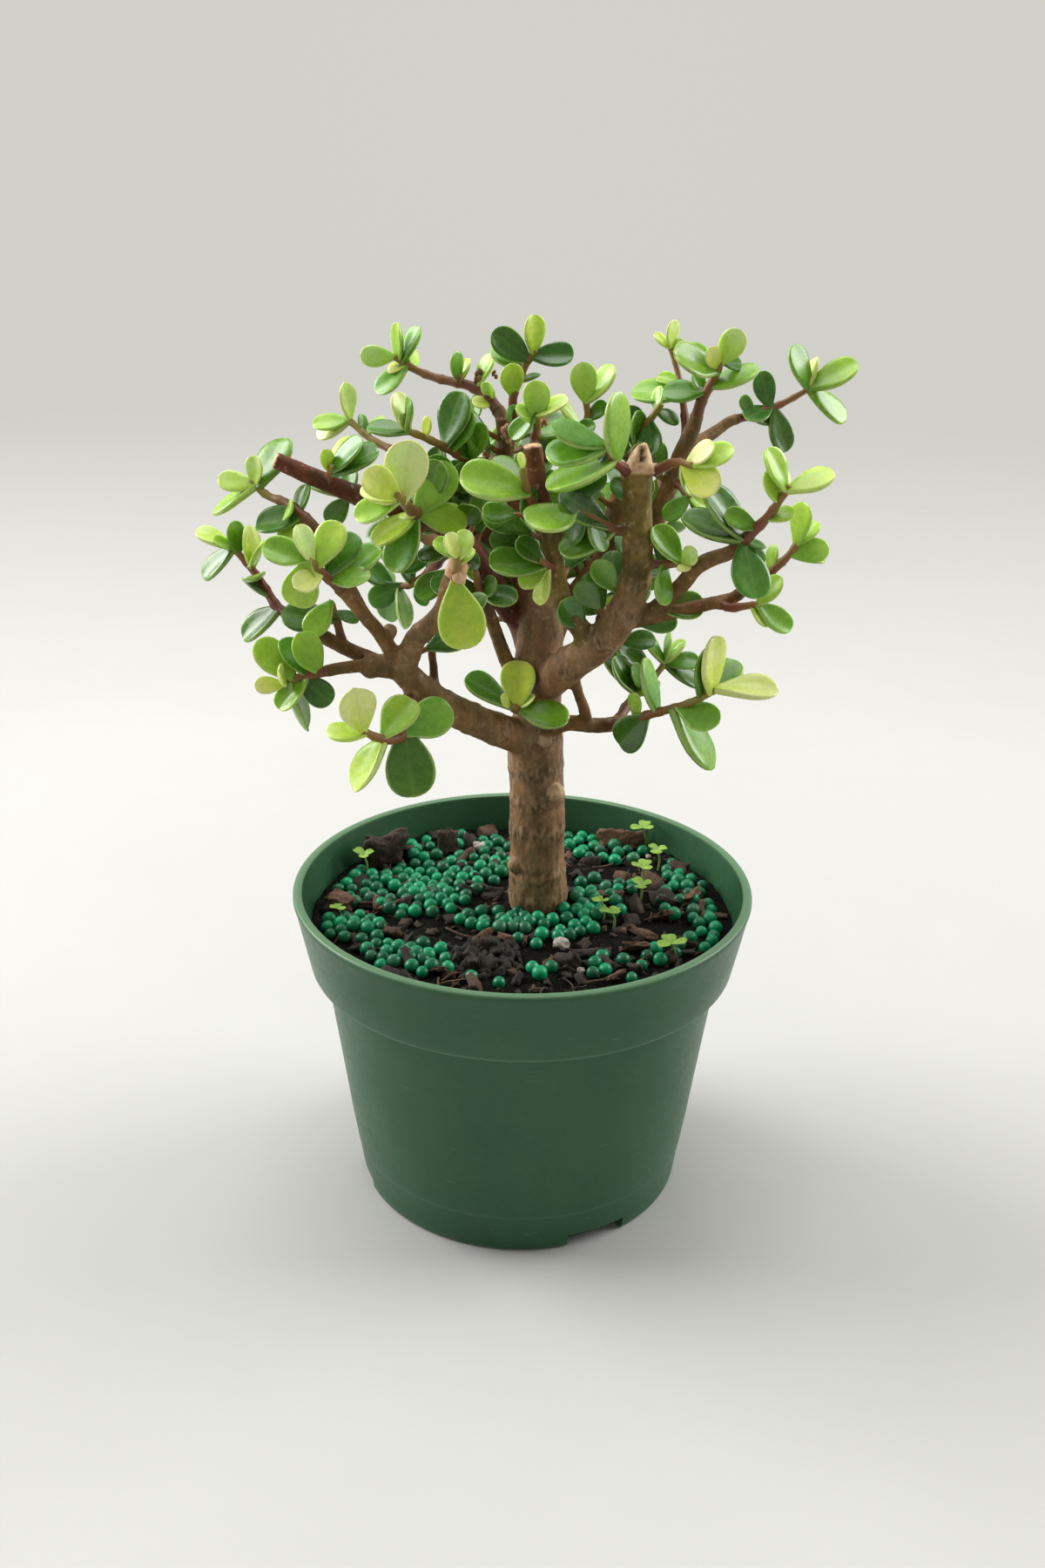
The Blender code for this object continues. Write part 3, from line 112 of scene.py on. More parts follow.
# Each limb: its sides, then (across, up, back, radius) along it. Each starts inside its parent.
LIMBS = {
    "trunk": (12, (3.9, 76, 6, 7.4), (3.5, 90, 6, 7.0), (3.3, 105, 6, 6.8), (2.7, 116, 6, 6.8),
              (3.0, 126, 6, 6.0), (3.2, 140, 6, 5.7), (4.0, 151, 6, 5.0)),
    "left_upright": (5, (0, 130, 4, 2.2), (-4, 138, 3, 1.9), (-7, 146, 3, 1.7), (-9, 152, 4, 1.5)),
    "centre_left": (7, (2, 138, 8, 3.2), (-3, 152, 11, 2.7), (-10, 165, 13, 2.4), (-8, 178, 14, 2.3),
                    (-5, 190, 14, 2.2), (-5.5, 196, 14, 2.1)),
    "centre_brown": (5, (3, 148, 9, 3.0), (-1, 160, 9, 2.4), (-3, 170, 9, 2.2), (-2, 181, 9, 2.0)),
    "centre_olive": (7, (14, 141, -5, 2.2), (13, 147, -9, 2.4), (9, 152, -11, 2.3), (7, 160, -12, 2.3),
                     (5, 172, -13, 2.2), (2.5, 180, -14, 2.2), (1, 190, -14, 2.1)),
    "right_limb": (7, (4, 132, 4, 4.2), (10, 138, -3, 4.2), (17, 143, -8, 4.0), (22, 150, -12, 3.8),
                   (25, 158, -13, 3.6), (25.5, 166, -14, 3.4), (25, 178, -15, 3.3), (25, 189, -15, 3.2)),
    "right_long": (5, (18, 145, -9, 2.0), (24, 149, -11, 1.9), (30, 150.5, -12, 1.8), (40, 153, -13, 1.6),
                   (48, 155, -14, 1.4)),
    "right_rise": (5, (28, 150.5, -11.7, 1.9), (31, 153, -13, 1.9), (36, 158, -16, 1.9), (40, 163, -20, 1.8),
                   (47, 166, -24, 1.6)),
    "low_right": (5, (4, 121, 4, 2.4), (10, 123.5, 1, 2.1), (17, 123, 3, 1.9), (22, 123.5, 5, 1.8)),
    "back_right": (7, (5, 143, 9, 3.4), (8, 150, 12, 3.2), (14, 158, 17, 3.1), (19, 166, 19, 3.0),
                   (20, 173, 19, 2.8), (22, 182, 18, 2.4)),
    "back_right_top": (5, (20, 170, 19, 2.4), (28, 171, 18, 2.3), (31, 178, 17, 2.2), (34, 187, 15, 2.1),
                       (37, 195, 13, 1.8)),
    "top_right": (5, (34.5, 188, 15, 1.6), (37, 190.5, 17, 1.6), (41, 193, 22, 1.5), (45, 196, 25, 1.3)),
    "left_limb": (7, (1, 119, 5, 4.2), (-6, 121.5, 0, 4.0), (-12, 124, -5, 3.9), (-20, 128, -10, 3.6),
                  (-26, 133, -14, 3.3), (-30, 137, -15, 3.1), (-35.5, 137.5, -15.5, 2.6)),
    "left_rise": (5, (-29, 136, -15, 2.8), (-26, 144, -22, 2.5), (-22, 148, -27, 2.3), (-19, 152, -30, 2.2),
                  (-18, 157, -31, 2.1), (-16.5, 161, -31, 1.9)),
    "left_tall": (5, (-30, 138, -15, 1.9), (-34, 145, -20, 1.7), (-38, 150, -24, 1.6), (-42, 155, -27, 1.5)),
    "left_long": (5, (-33, 137.5, -15, 2.0), (-40, 140.5, -13, 1.8), (-45, 143, -12, 1.7),
                  (-50, 146, -10, 1.6), (-55, 149, -8, 1.4)),
    "left_low": (5, (-34, 137.5, -15.5, 1.7), (-38, 137.5, -17, 1.6), (-45, 136.5, -20, 1.4)),
    "left_twig": (5, (-21, 129, -11, 1.3), (-21.5, 134, -10, 1.1), (-22.5, 146, -9, 0.9)),
    "cut_branch": (7, (-3, 150, 9, 2.9), (-6, 155, 7, 2.8), (-12, 165, 4, 2.6), (-20, 172, 0, 2.5),
                   (-30, 175.5, -4, 2.4), (-38, 178, -6, 2.3), (-48, 182, -8, 2.1), (-57, 186, -9, 1.8)),
    "back_centre": (5, (6, 146, 9, 3.2), (6, 156, 19, 2.8), (2, 168, 27, 2.4), (-3, 180, 30, 2.0)),
    "back_left": (5, (-8, 160, 12, 2.4), (-18, 166, 21, 2.2), (-27, 172, 26, 1.9), (-33, 180, 27, 1.6)),
    "back_low": (5, (3, 134, 9, 2.6), (4, 140, 20, 2.2), (0, 148, 30, 1.9), (-6, 156, 35, 1.6)),
    "back_out": (5, (14, 158, 18, 2.4), (19, 160, 28, 2.0), (24, 166, 34, 1.7)),
    "left_fork": (5, (-38, 150, -24, 1.6), (-42, 158, -20, 1.6), (-45, 164, -17, 1.5),
                  (-47, 168.5, -15, 1.5)),
    "low_twig": (5, (15, 123.2, 2.3, 1.6), (14.3, 127, -0.5, 1.4), (12.8, 131, -2, 1.25),
                 (11.5, 136.5, -3.5, 1.3)),
}


# Each shoot: parent radius, stem radii, then its route as (across, up, back), then its leaves as
# (tip across, tip up, back of the tip behind the route, length, degrees turned off the viewer, tone).
# A leaf's tone sets how pale it is: partly its own colour, and partly painted shade, as leaves that lie in
# shade get darker tones.
SHOOTS = {
    "shoot_left_rosette": (
        1.5, 1.4, 0.9,
        ((-42, 155, -27), (-45, 158, -29), (-48, 160.5, -30), (-50.5, 163, -31)),
        ((-61, 165.5, 0, 10, 25, 0.62), (-52.8, 171.2, 1, 8.5, 40, 0.95), (-44.3, 172.5, 2, 11, 32, 0.76),
         (-54, 156.3, -5, 8, 5, 0.95), (-53.3, 151.3, -1, 11.5, 18, 0.72), (-49, 169.5, 4, 7, 60, 0.98),
         (-33.5, 165.5, 3, 11, 45, 0.5), (-35.5, 159, 1, 9.5, 38, 0.55), (-39, 169.5, 5, 10, 30, 0.3)),
    ),
    "shoot_left_long": (
        1.4, 1.3, 0.8,
        ((-55, 149, -8), (-58.5, 152, -5), (-61, 156.5, -2), (-63.5, 160.5, 1), (-67.5, 165.5, 3)),
        ((-77, 169.4, 0, 8.5, 62, 0.9), (-67.3, 172, 1, 7.5, 28, 0.45), (-73, 166.6, -2, 6, 48, 0.68),
         (-75, 158, 1, 9.5, 58, 0.3), (-66.3, 143.6, 0, 12, 58, 0.24), (-63.8, 171, 2, 10, 50, 0.9),
         (-61, 169.3, 0, 8.5, 78, 0.8), (-66.2, 158, -3, 7.5, 68, 0.22), (-64.3, 152.5, -5, 9, 45, 0.6)),
    ),
    "shoot_left_side": (
        1.7, 1.1, 0.7,
        ((-43, 142, -12.5), (-44, 147, -12), (-45.5, 153, -13)),
        ((-51, 144.6, -4, 11, 28, 0.58), (-39.3, 148, -1, 6, 50, 0.22), (-49.3, 140.3, 3, 7, 50, 0.35),
         (-56.5, 148.5, 5, 11, 40, 0.2)),
    ),
    "shoot_left_low": (
        1.4, 1.3, 0.8,
        ((-45, 136.5, -20), (-50, 135.2, -21), (-54.5, 134, -21), (-58, 132, -21)),
        ((-63.5, 143.2, 2, 12, 15, 0.68), (-64.5, 131.8, -1, 6.8, 20, 0.95), (-61, 137.8, -3, 7, 60, 0.95),
         (-53.8, 145.2, -1, 11, 22, 0.68), (-57.3, 143.6, 4, 10, 25, 0.4), (-58.3, 125.8, -2, 10, 40, 0.62),
         (-53.5, 119.6, 0, 13, 72, 0.48), (-46.3, 127.9, -1, 9, 0, 0.15)),
    ),
    "shoot_front_low": (
        3.3, 1.6, 0.9,
        ((-27, 133, -14), (-27.5, 126, -21), (-30, 119.5, -28), (-35, 119, -33), (-39, 121, -36)),
        ((-41.3, 132.6, -4, 11.5, 12, 0.97), (-39.5, 136, 2, 15, 5, 0.68), (-27, 128.5, -5, 12, 18, 0.7),
         (-18.6, 126.5, 2, 13.5, 5, 0.6), (-47.8, 120, -1, 9, 55, 0.88), (-41.5, 105.3, 1, 14.5, 52, 0.86),
         (-27, 103.8, -1, 16, 5, 0.32), (-32, 131.8, 6, 10, 10, 0.2)),
    ),
    "shoot_trunk_front": (
        5.9, 1.3, 0.8,
        ((0, 127, 3), (-2, 127, -5), (-3.8, 127.6, -9)),
        ((-14.6, 134.3, 1, 12.5, 48, 0.36), (0, 138.9, 2, 10.5, 5, 0.82), (10.6, 127.4, -2, 13, 48, 0.42),
         (2, 128.3, -4, 5, 50, 0.88), (-6.3, 131, -4, 4.5, 50, 0.88)),
    ),
    "shoot_left_bud": (
        2.1, 1.2, 0.8,
        ((-18, 156, -31), (-16.5, 158.5, -36.5), (-15.8, 164, -38)),
        ((-18.7, 169.6, -1, 6, 30, 0.95), (-13, 170, 0, 6.5, 35, 0.9), (-21.5, 167.5, 2, 6, 40, 0.6),
         (-15, 145, -1, 14.5, 5, 0.78), (-12, 166, 2, 5, 50, 0.8)),
    ),
    "shoot_left_bud_low": (
        2.3, 1.2, 0.8,
        ((-20, 150.5, -29), (-17, 149.5, -34), (-14.5, 150, -35)),
        ((-11.5, 147.5, 2, 7, 30, 0.3), (-9, 154.5, 3, 8, 40, 0.28), (-17.5, 155, 2, 6, 40, 0.3)),
    ),
    "shoot_front_rosette": (
        2.4, 1.5, 0.9,
        ((-25, 174, -2), (-26, 174.5, -13), (-27.5, 176, -24), (-29.5, 178.3, -34)),
        ((-26, 191.2, 4, 13.5, 8, 1.0), (-37.5, 183.5, -1, 9.5, 5, 0.92), (-38.3, 178, 2, 9, 50, 1.0),
         (-39, 172.3, 0, 10.5, 42, 0.74), (-29.3, 162.8, 4, 12.5, 28, 0.5), (-34.5, 165.8, 6, 11, 50, 0.8),
         (-17, 172.6, 5, 10.5, 15, 0.64), (-17.5, 185, 7, 12, 10, 0.62), (-28, 172, -3, 6, 50, 0.9)),
    ),
    "shoot_cut_end": (
        2.2, 1.2, 0.8,
        ((-45, 180.8, -7.5), (-44.6, 183, -11), (-44.3, 184.8, -12.5)),
        ((-46.3, 188.5, 0, 5.5, 25, 0.88), (-36.8, 190.6, -1, 10.5, 50, 0.34), (-39, 191.6, 3, 9.5, 55, 0.85),
         (-33, 187, 2, 12, 58, 0.3)),
    ),
    "shoot_cut_mid": (
        2.3, 1.2, 0.8,
        ((-37, 177.5, -6), (-39.5, 177, 1), (-43, 178.3, 4)),
        ((-45.3, 171.8, 0, 8, 15, 0.2), (-40, 185, 2, 8, 40, 0.3), (-50, 181, 3, 7.5, 55, 0.35)),
    ),
    "shoot_left_out": (
        1.5, 1.4, 0.8,
        ((-47, 168.5, -15), (-50, 172, -14), (-54.5, 176, -10), (-59, 177.8, -7), (-62.8, 181, -5)),
        ((-70.2, 181.4, 0, 8.5, 32, 0.84), (-61.3, 187, 0, 6.8, 42, 0.95), (-64.8, 186, 2, 6, 55, 0.98),
         (-71.8, 173.4, 0, 12, 72, 0.7), (-62, 170.8, -4, 11.5, 42, 0.2), (-58.3, 169.4, -3, 8.5, 55, 0.82),
         (-54.3, 169.6, -3, 7, 68, 0.7), (-54.3, 190.8, 7, 13.5, 48, 0.44), (-49.5, 180.2, 3, 7, 58, 0.34)),
    ),
    "shoot_left_top": (
        2.4, 1.3, 0.8,
        ((-28, 175, -3.5), (-27.5, 183, 5), (-30, 188, 10), (-35, 190.8, 14), (-40, 195, 18)),
        ((-48.2, 193.8, 0, 8.8, 42, 0.72), (-41.4, 203.4, 0, 8.8, 45, 0.94), (-46.8, 191, 2, 8.8, 58, 0.96),
         (-37.3, 196.3, 1, 4.6, 25, 0.42), (-32, 195.8, 3, 6, 55, 0.9)),
    ),
    "shoot_top_left": (
        2.1, 1.5, 0.8,
        ((-5.5, 196, 14), (-9, 200.5, 17), (-13, 203, 19), (-20, 204.5, 22), (-25, 206.3, 24),
         (-29.5, 209, 25)),
        ((-37.2, 209.2, 0, 8, 10, 0.9), (-28.2, 216.5, 0, 8.5, 60, 0.78), (-23.8, 215.4, 0, 9, 70, 0.6),
         (-26.2, 213.4, 2, 7, 52, 0.85), (-33.3, 200.8, -1, 9.8, 42, 0.55), (-31, 206, 1, 5.5, 60, 0.92),
         (-16.8, 210.4, -2, 7.5, 55, 0.45), (-14.2, 211.8, 0, 8.3, 42, 0.88), (-7.8, 210.2, 1, 8, 62, 0.7),
         (-8.5, 204.3, -4, 6, 30, 0.92), (-12.6, 199.3, -4, 6, 40, 0.97), (-11.8, 196.6, -3, 6.5, 35, 0.55)),
    ),
    "shoot_top_inner": (
        2.2, 1.3, 0.8,
        ((-8, 181, 14), (-13, 186, 8), (-19, 189.5, 3), (-24, 191.8, -1), (-27.5, 193, -3)),
        ((-36.2, 193, 0, 9.3, 58, 0.3), (-28.7, 196.6, -1, 4.8, 30, 0.95), (-22, 196.2, 0, 5, 40, 0.9),
         (-29.8, 201.3, 2, 8.5, 52, 1.0), (-26.6, 202, 1, 9, 74, 0.34), (-12, 197.6, 1, 10.5, 52, 0.5),
         (-8.8, 194.2, -2, 10, 48, 0.42), (-10.8, 189.3, 1, 9, 30, 0.12), (-13.8, 201.6, 4, 11.5, 38, 0.22),
         (-18, 184.5, 2, 7, 40, 0.14)),
    ),
    "shoot_top_centre": (
        2.1, 1.3, 0.8,
        ((-5.2, 191.5, 14), (-3.3, 194.5, 9), (-3.4, 201, 7), (-1, 207.2, 8), (1.3, 210.8, 8)),
        ((-8.3, 214.6, 0, 10, 8, 0.24), (-8.4, 211.3, 3, 8, 45, 0.5), (0.6, 218.5, 0, 8.5, 45, 0.78),
         (9.8, 209.6, 0, 9.8, 35, 0.27), (-4.3, 208, -4, 8, 10, 0.8), (2.5, 205.2, 2, 5.5, 68, 0.15),
         (-4.8, 198.5, -3, 5.5, 40, 0.45)),
    ),
    "shoot_olive_top": (
        2.1, 1.3, 0.8,
        ((1, 187, -14), (1.5, 191, -9.5), (2, 194.5, -9), (1.6, 197, -10)),
        ((1.6, 204.6, 0, 8.5, 2, 0.8), (9.2, 199.6, -1, 8, 52, 0.93), (-3.3, 198.2, -1, 6, 35, 0.86),
         (-3.2, 191.3, 1, 7.5, 42, 0.42), (8, 194, 2, 7, 50, 0.5)),
    ),
    "shoot_olive_low": (
        2.3, 1.2, 0.8,
        ((6.7, 161, -12), (4.5, 162.5, -17), (3.5, 163.5, -19)),
        ((-8.8, 161, -1, 13, 42, 0.36), (-2.5, 168.3, 1, 8.5, 40, 0.18), (-1, 156.6, -1, 8, 35, 0.86),
         (4.5, 155.2, 0, 8, 62, 0.88)),
    ),
    "shoot_olive_mid": (
        2.2, 1.2, 0.8,
        ((4.2, 174, -13.5), (1, 177, -18), (-0.5, 181, -20), (-1.2, 184.8, -20)),
        ((-15.8, 181.6, -2, 15.5, 38, 0.62), (0.5, 176.5, 3, 7.5, 42, 0.28), (-1, 188.5, -1, 3.6, 40, 0.96),
         (7, 181.5, 7, 9, 40, 0.32)),
    ),
    "shoot_right_top": (
        3.3, 1.3, 0.8,
        ((24.8, 184, -15), (21.5, 185.2, -18), (19, 187, -20), (17.8, 189.8, -20)),
        ((18.8, 202.2, 1, 15, 52, 0.6), (4.3, 186.4, -1, 12.5, 52, 0.5), (5.3, 178.3, -2, 15.5, 58, 0.62),
         (5.8, 183.2, 3, 12, 40, 0.12), (4.3, 191.8, 3, 13, 48, 0.45)),
    ),
    "shoot_right_cap": (
        4.6, 1.3, 0.8,
        ((25, 184.5, -15), (29.5, 185, -19), (33, 186.5, -23), (37.2, 186, -27)),
        ((43.3, 179.7, -3, 10, 5, 0.9), (46.2, 189.3, 2, 9.5, 30, 0.8), (42.3, 190.9, 0, 7.5, 30, 1.0),
         (36.6, 178.8, 1, 7, 50, 0.7)),
    ),
    "shoot_right_side": (
        3.4, 1.1, 0.7,
        ((25.4, 163, -14), (32, 163, -17), (37, 163.2, -19)),
        ((28.8, 171.7, 0, 10, 32, 0.5), (33.3, 171, 3, 9, 30, 0.22), (41.3, 168.3, 0, 7, 12, 0.92),
         (38.6, 158.3, -3, 5.5, 15, 0.96), (45.2, 153.4, 1, 12, 32, 0.58), (33, 153.3, 0, 9, 48, 0.5)),
    ),
    "shoot_right_inner": (
        3.4, 1.2, 0.8,
        ((25.3, 171, -14.5), (20, 170.8, -17), (15, 173.5, -18), (11.2, 175, -18)),
        ((8.3, 164.2, 0, 14.5, 45, 0.35), (7, 179, 2, 13.5, 42, 0.1), (-2.3, 170, 0, 13.5, 42, 0.63),
         (15.3, 166.6, 2, 8, 40, 0.34), (10.3, 167, 2, 7, 42, 0.3)),
    ),
    "shoot_right_low": (
        4.0, 1.1, 0.7,
        ((19, 145.5, -9.5), (17.5, 149.7, -7), (17.9, 153, -7)),
        ((12.6, 152.2, 0, 7, 32, 0.4), (21.5, 155, 0, 3.8, 40, 0.9)),
    ),
    "shoot_right_long": (
        1.4, 1.3, 0.8,
        ((48, 155, -14), (55, 160, -16), (60, 165, -17), (62, 168, -17)),
        ((69.6, 167, -1, 8.8, 15, 0.74), (63.8, 177.8, 1, 9, 48, 0.82), (69.4, 164.2, 1, 8.8, 64, 0.6),
         (66.5, 173.3, 3, 7, 40, 0.78), (57, 168, 3, 6, 55, 0.7)),
    ),
    "shoot_right_rise": (
        1.6, 1.4, 0.8,
        ((47, 166, -24), (51, 170, -27), (55, 174.5, -29), (57.5, 178.5, -30), (59.3, 181.5, -30)),
        ((52.8, 189.5, 0, 10, 62, 0.76), (56, 187.6, 2, 7, 50, 0.9), (69.5, 184.3, 0, 11, 50, 0.78),
         (54.3, 184.3, -2, 7.5, 52, 0.85), (61.2, 175.3, 0, 6.5, 48, 0.76), (40.2, 180.2, -1, 14.5, 52, 0.2),
         (35, 173.5, 0, 13.5, 56, 0.22), (44.8, 174.8, 2, 8, 22, 0.42), (54.7, 166.8, 2, 6, 64, 0.24),
         (52.6, 155, -2, 12.5, 34, 0.36), (54, 161, 1, 9, 44, 0.28)),
    ),
    "shoot_right_under": (
        1.5, 1.2, 0.7,
        ((44, 154, -13.5), (48, 152.8, -17), (54.8, 153.8, -20)),
        ((59.2, 160.3, 0, 8, 42, 0.7), (61.7, 147.2, 0, 9.5, 36, 0.62), (57, 148.6, -2, 6, 58, 0.88)),
    ),
    "shoot_low_right_back": (
        1.8, 1.4, 0.8,
        ((22, 123.5, 5), (25, 129, 12), (29.5, 134, 18), (33, 138.8, 22)),
        ((20, 139.8, 0, 10.5, 52, 0.2), (21.3, 143.7, 1, 11.5, 52, 0.2), (18, 141, 4, 12, 45, 0.34),
         (27, 146.3, 1, 9.5, 60, 0.6), (34, 146.5, 0, 7.6, 74, 0.66), (38.2, 145.3, 2, 7, 60, 0.93),
         (41.3, 139.4, 0, 8.6, 48, 0.38), (41.8, 133.2, 1, 10, 58, 0.2), (24.3, 138.9, -2, 7.5, 60, 0.28),
         (32.5, 133.5, -5, 6.5, 50, 0.74)),
    ),
    "shoot_low_right": (
        1.9, 1.4, 0.8,
        ((19, 123, 4), (24, 124, -4), (30, 126, -11), (38, 128.5, -16), (43, 131, -20), (45.5, 132.5, -21)),
        ((23.6, 118.6, -3, 12, 5, 0.2), (46.8, 123.4, -2, 12, 26, 0.62), (44.6, 112, 2, 17, 68, 0.5),
         (41.3, 142.7, 2, 11.5, 56, 0.3), (43.2, 146, -1, 14.3, 54, 0.94), (48.4, 143, 3, 12, 38, 0.52),
         (60.3, 131.8, 0, 14.5, 56, 0.98), (26.8, 139.8, 3, 13, 58, 0.55), (27, 131.5, 2, 6.5, 50, 0.72)),
    ),
    "shoot_back_right_top": (
        1.8, 1.5, 0.8,
        ((37, 195, 13), (38.5, 200.5, 11), (41, 205.5, 10), (42.2, 208.8, 10)),
        ((46.3, 215.8, 0, 8.8, 5, 0.9), (33.8, 212, 2, 9.5, 44, 0.65), (39.2, 211.8, -3, 6.3, 25, 0.92),
         (29.8, 211, 0, 12, 48, 0.5), (51, 206.3, 0, 11.5, 48, 0.64), (29.8, 201.5, 1, 10, 46, 0.38),
         (36.3, 206, 4, 6, 40, 0.45), (47, 207.8, 3, 5, 45, 0.3)),
    ),
    "shoot_back_right_thin": (
        2.1, 1.0, 0.6,
        ((35.5, 191, 14), (34.5, 199, 18), (33, 206, 22), (31, 211.6, 24)),
        ((30.8, 217.8, 0, 6.4, 58, 0.93), (26.9, 214.3, 0, 5, 50, 0.88), (34, 213.4, 0, 4, 50, 0.88),
         (22.5, 201.8, -1, 12, 42, 0.6), (47.2, 190.9, -6, 11.5, 58, 0.56), (29.5, 205, 4, 6, 40, 0.72)),
    ),
    "shoot_top_right": (
        1.3, 1.2, 0.7,
        ((45, 196, 25), (50, 197.5, 28), (56, 199.8, 31), (62, 203.2, 33)),
        ((48.3, 195.6, -2, 9, 35, 0.2), (50.8, 207, 1, 8.3, 15, 0.27), (58, 188, 0, 10, 32, 0.2),
         (57.3, 212.5, 0, 10.5, 48, 0.5), (62.3, 210.8, 1, 8, 62, 0.96), (72.6, 208.2, 0, 11.5, 46, 0.64),
         (70.8, 196, 1, 11, 56, 0.6), (56, 196.8, -2, 8, 20, 0.24), (46, 201, 2, 6, 30, 0.3)),
    ),
    "shoot_back_right_mid": (
        2.4, 1.4, 0.8,
        ((22, 182, 18), (23.5, 188, 18), (26, 194, 17), (29.5, 199.5, 16)),
        ((24, 198, -1, 9, 52, 0.4), (26.8, 187.6, -3, 8.5, 20, 0.2), (21.5, 199, 2, 10, 32, 0.2),
         (29, 203.5, 3, 6, 40, 0.72), (19, 192, 3, 8, 40, 0.18), (33.5, 196, 2, 6, 40, 0.26)),
    ),
    "shoot_right_back_low": (
        2.2, 1.2, 0.8,
        ((32.5, 183, 16), (35, 181, 12), (36.8, 178.6, 9)),
        ((31.5, 173.4, -1, 7.6, 18, 0.48), (42, 175, 0, 7, 42, 0.76), (38.6, 175.3, 2, 4.5, 45, 0.28),
         (41.5, 182, 3, 7.5, 35, 0.3)),
    ),
    "shoot_centre_back": (
        2.0, 1.4, 0.8,
        ((-2, 181, 9), (3, 187, 7), (9, 191.5, 5), (13, 195.5, 4), (12.8, 199.6, 4)),
        ((11.6, 208.6, 0, 9, 2, 0.86), (19.5, 207, 1, 9.5, 56, 0.82), (15, 194.6, -4, 7, 20, 0.36),
         (6.2, 199.3, 0, 7.5, 60, 0.86), (17.5, 199.5, 0, 6, 35, 0.4), (7, 195.3, 2, 7.5, 40, 0.6),
         (4, 194.6, 4, 8, 40, 0.14)),
    ),
    "shoot_centre_left": (
        2.4, 1.3, 0.8,
        ((-9.6, 168, 13), (-15, 173, 10), (-19, 177.5, 8), (-20.5, 181, 8)),
        ((-12.3, 175.2, -1, 5.5, 60, 0.6), (-24, 170, 2, 9, 40, 0.24), (-25, 184, 2, 8, 40, 0.4),
         (-14, 181, 2, 8, 40, 0.2), (-20, 189.5, 3, 8, 40, 0.14)),
    ),
    "shoot_left_upright": (
        1.5, 1.3, 0.8,
        ((-9, 152, 4), (-11, 157, 2), (-12, 161, 1)),
        ((-1.2, 155, -1, 9.5, 28, 0.3), (-5, 160.5, 1, 8.5, 40, 0.24), (-17.5, 157.5, 1, 7.5, 40, 0.28),
         (-9.5, 167.5, 2, 7, 40, 0.2)),
    ),
    "shoot_back_a": (
        2.0, 1.4, 0.8,
        ((-3, 180, 30), (-4, 183, 35), (-5, 186, 39), (-6, 190, 42)),
        (),
    ),
    "shoot_back_b": (
        1.6, 1.4, 0.8,
        ((-33, 180, 27), (-31.5, 178, 33), (-30, 176, 38), (-28.5, 174, 43)),
        (),
    ),
    "shoot_back_c": (
        1.6, 1.4, 0.8,
        ((-6, 156, 35), (-7, 158.5, 40), (-8, 161.5, 44), (-9, 165, 47)),
        (),
    ),
    "shoot_back_d": (
        1.7, 1.4, 0.8,
        ((24, 166, 34), (28, 172, 38), (32, 179, 42), (35, 185, 44)),
        (),
    ),
    "shoot_back_e": (
        2.4, 1.4, 0.8,
        ((2, 168, 27), (9, 172, 33), (13, 178, 36), (15, 185, 37)),
        (),
    ),
    "shoot_back_f": (
        2.2, 1.4, 0.8,
        ((-18, 166, 21), (-22, 161, 26), (-26.5, 157.5, 30), (-31, 157, 34)),
        ((-36.5, 153, -1, 9.5, 12, 0.25), (-28.6, 146.5, -2, 11, 58, 0.5), (-32.3, 147.5, 1, 10, 40, 0.32),
         (-24, 152.5, -1, 8, 35, 0.25), (-38.5, 162, 2, 9.5, 30, 0.3), (-29, 165, 2, 8.5, 40, 0.24),
         (-21.5, 168, 5, 8, 45, 0.3), (-34, 158.5, 9, 8.5, 40, 0.34)),
    ),
    "shoot_back_g": (
        3.0, 1.4, 0.8,
        ((18, 164, 19), (20.5, 167, 25), (23, 170.5, 30), (25, 174, 33)),
        (),
    ),
}

BACK_PAIRS = 4

# Each prill bed: its centre on the soil and how many prills lie in it.
PRILL_BEDS = {
    "prills_left": (-25.0, 9.0, 13),
    "prills_front": (-1.0, -8.0, 9),
    "prills_right": (17.0, -1.0, 6),
    "prills_rim": (-25.0, -24.0, 6),
}

# Each chip: its place on the soil, its three sizes, its turn and its lean in degrees.
CHIPS = {
    "bark_back_left": (-37.0, 29.0, 10.0, 5.5, 8.5, 30.0, 12.0),
    "bark_left": (-46.0, 3.0, 6.0, 5.0, 3.6, -20.0, 0.0),
    "bark_grey": (-20.0, 35.0, 5.0, 2.2, 6.5, 15.0, -12.0),
    "bark_back_right": (27.0, 40.0, 11.0, 2.6, 5.0, -12.0, -14.0),
}

# Each seedling piece: its plants, each with its place, height, turn in degrees and leaflet length.
SEEDLINGS = {
    "clover_left": ((-41.5, 21.0, 6.0, 20.0, 3.2), (-46.0, -3.0, 3.5, 80.0, 2.4)),
    "clover_right": ((31.0, 13.0, 6.5, 70.0, 3.6), (30.0, 6.0, 5.0, 10.0, 3.2), (36.0, 26.0, 6.0, 130.0, 3.2),
                     (33.0, 38.0, 7.0, 200.0, 3.4)),
    "clover_front": ((36.0, -24.0, 5.0, -30.0, 4.0), (22.5, -7.5, 4.5, 60.0, 3.0),
                     (20.0, -5.0, 5.5, 100.0, 2.6)),
}


def polar(radius, degrees, height):
    """A point at this many degrees round from the front towards +X."""
    angle = math.radians(degrees)
    return Vector((radius * math.sin(angle), -radius * math.cos(angle), height))


def soil_height(x, y):
    """The plain height of the mix, a long shallow wave."""
    return SOIL_LEVEL + 0.8 * (math.sin(x / 17 + 0.6) * math.cos(y / 19 - 0.4))


def off_trunk(x, y):
    return math.hypot(x - TRUNK_FOOT[0], y - TRUNK_FOOT[1])


# Polylines


def lengths(points):
    total = [0.0]
    for a, b in zip(points, points[1:]):
        total.append(total[-1] + (b - a).length)
    return total


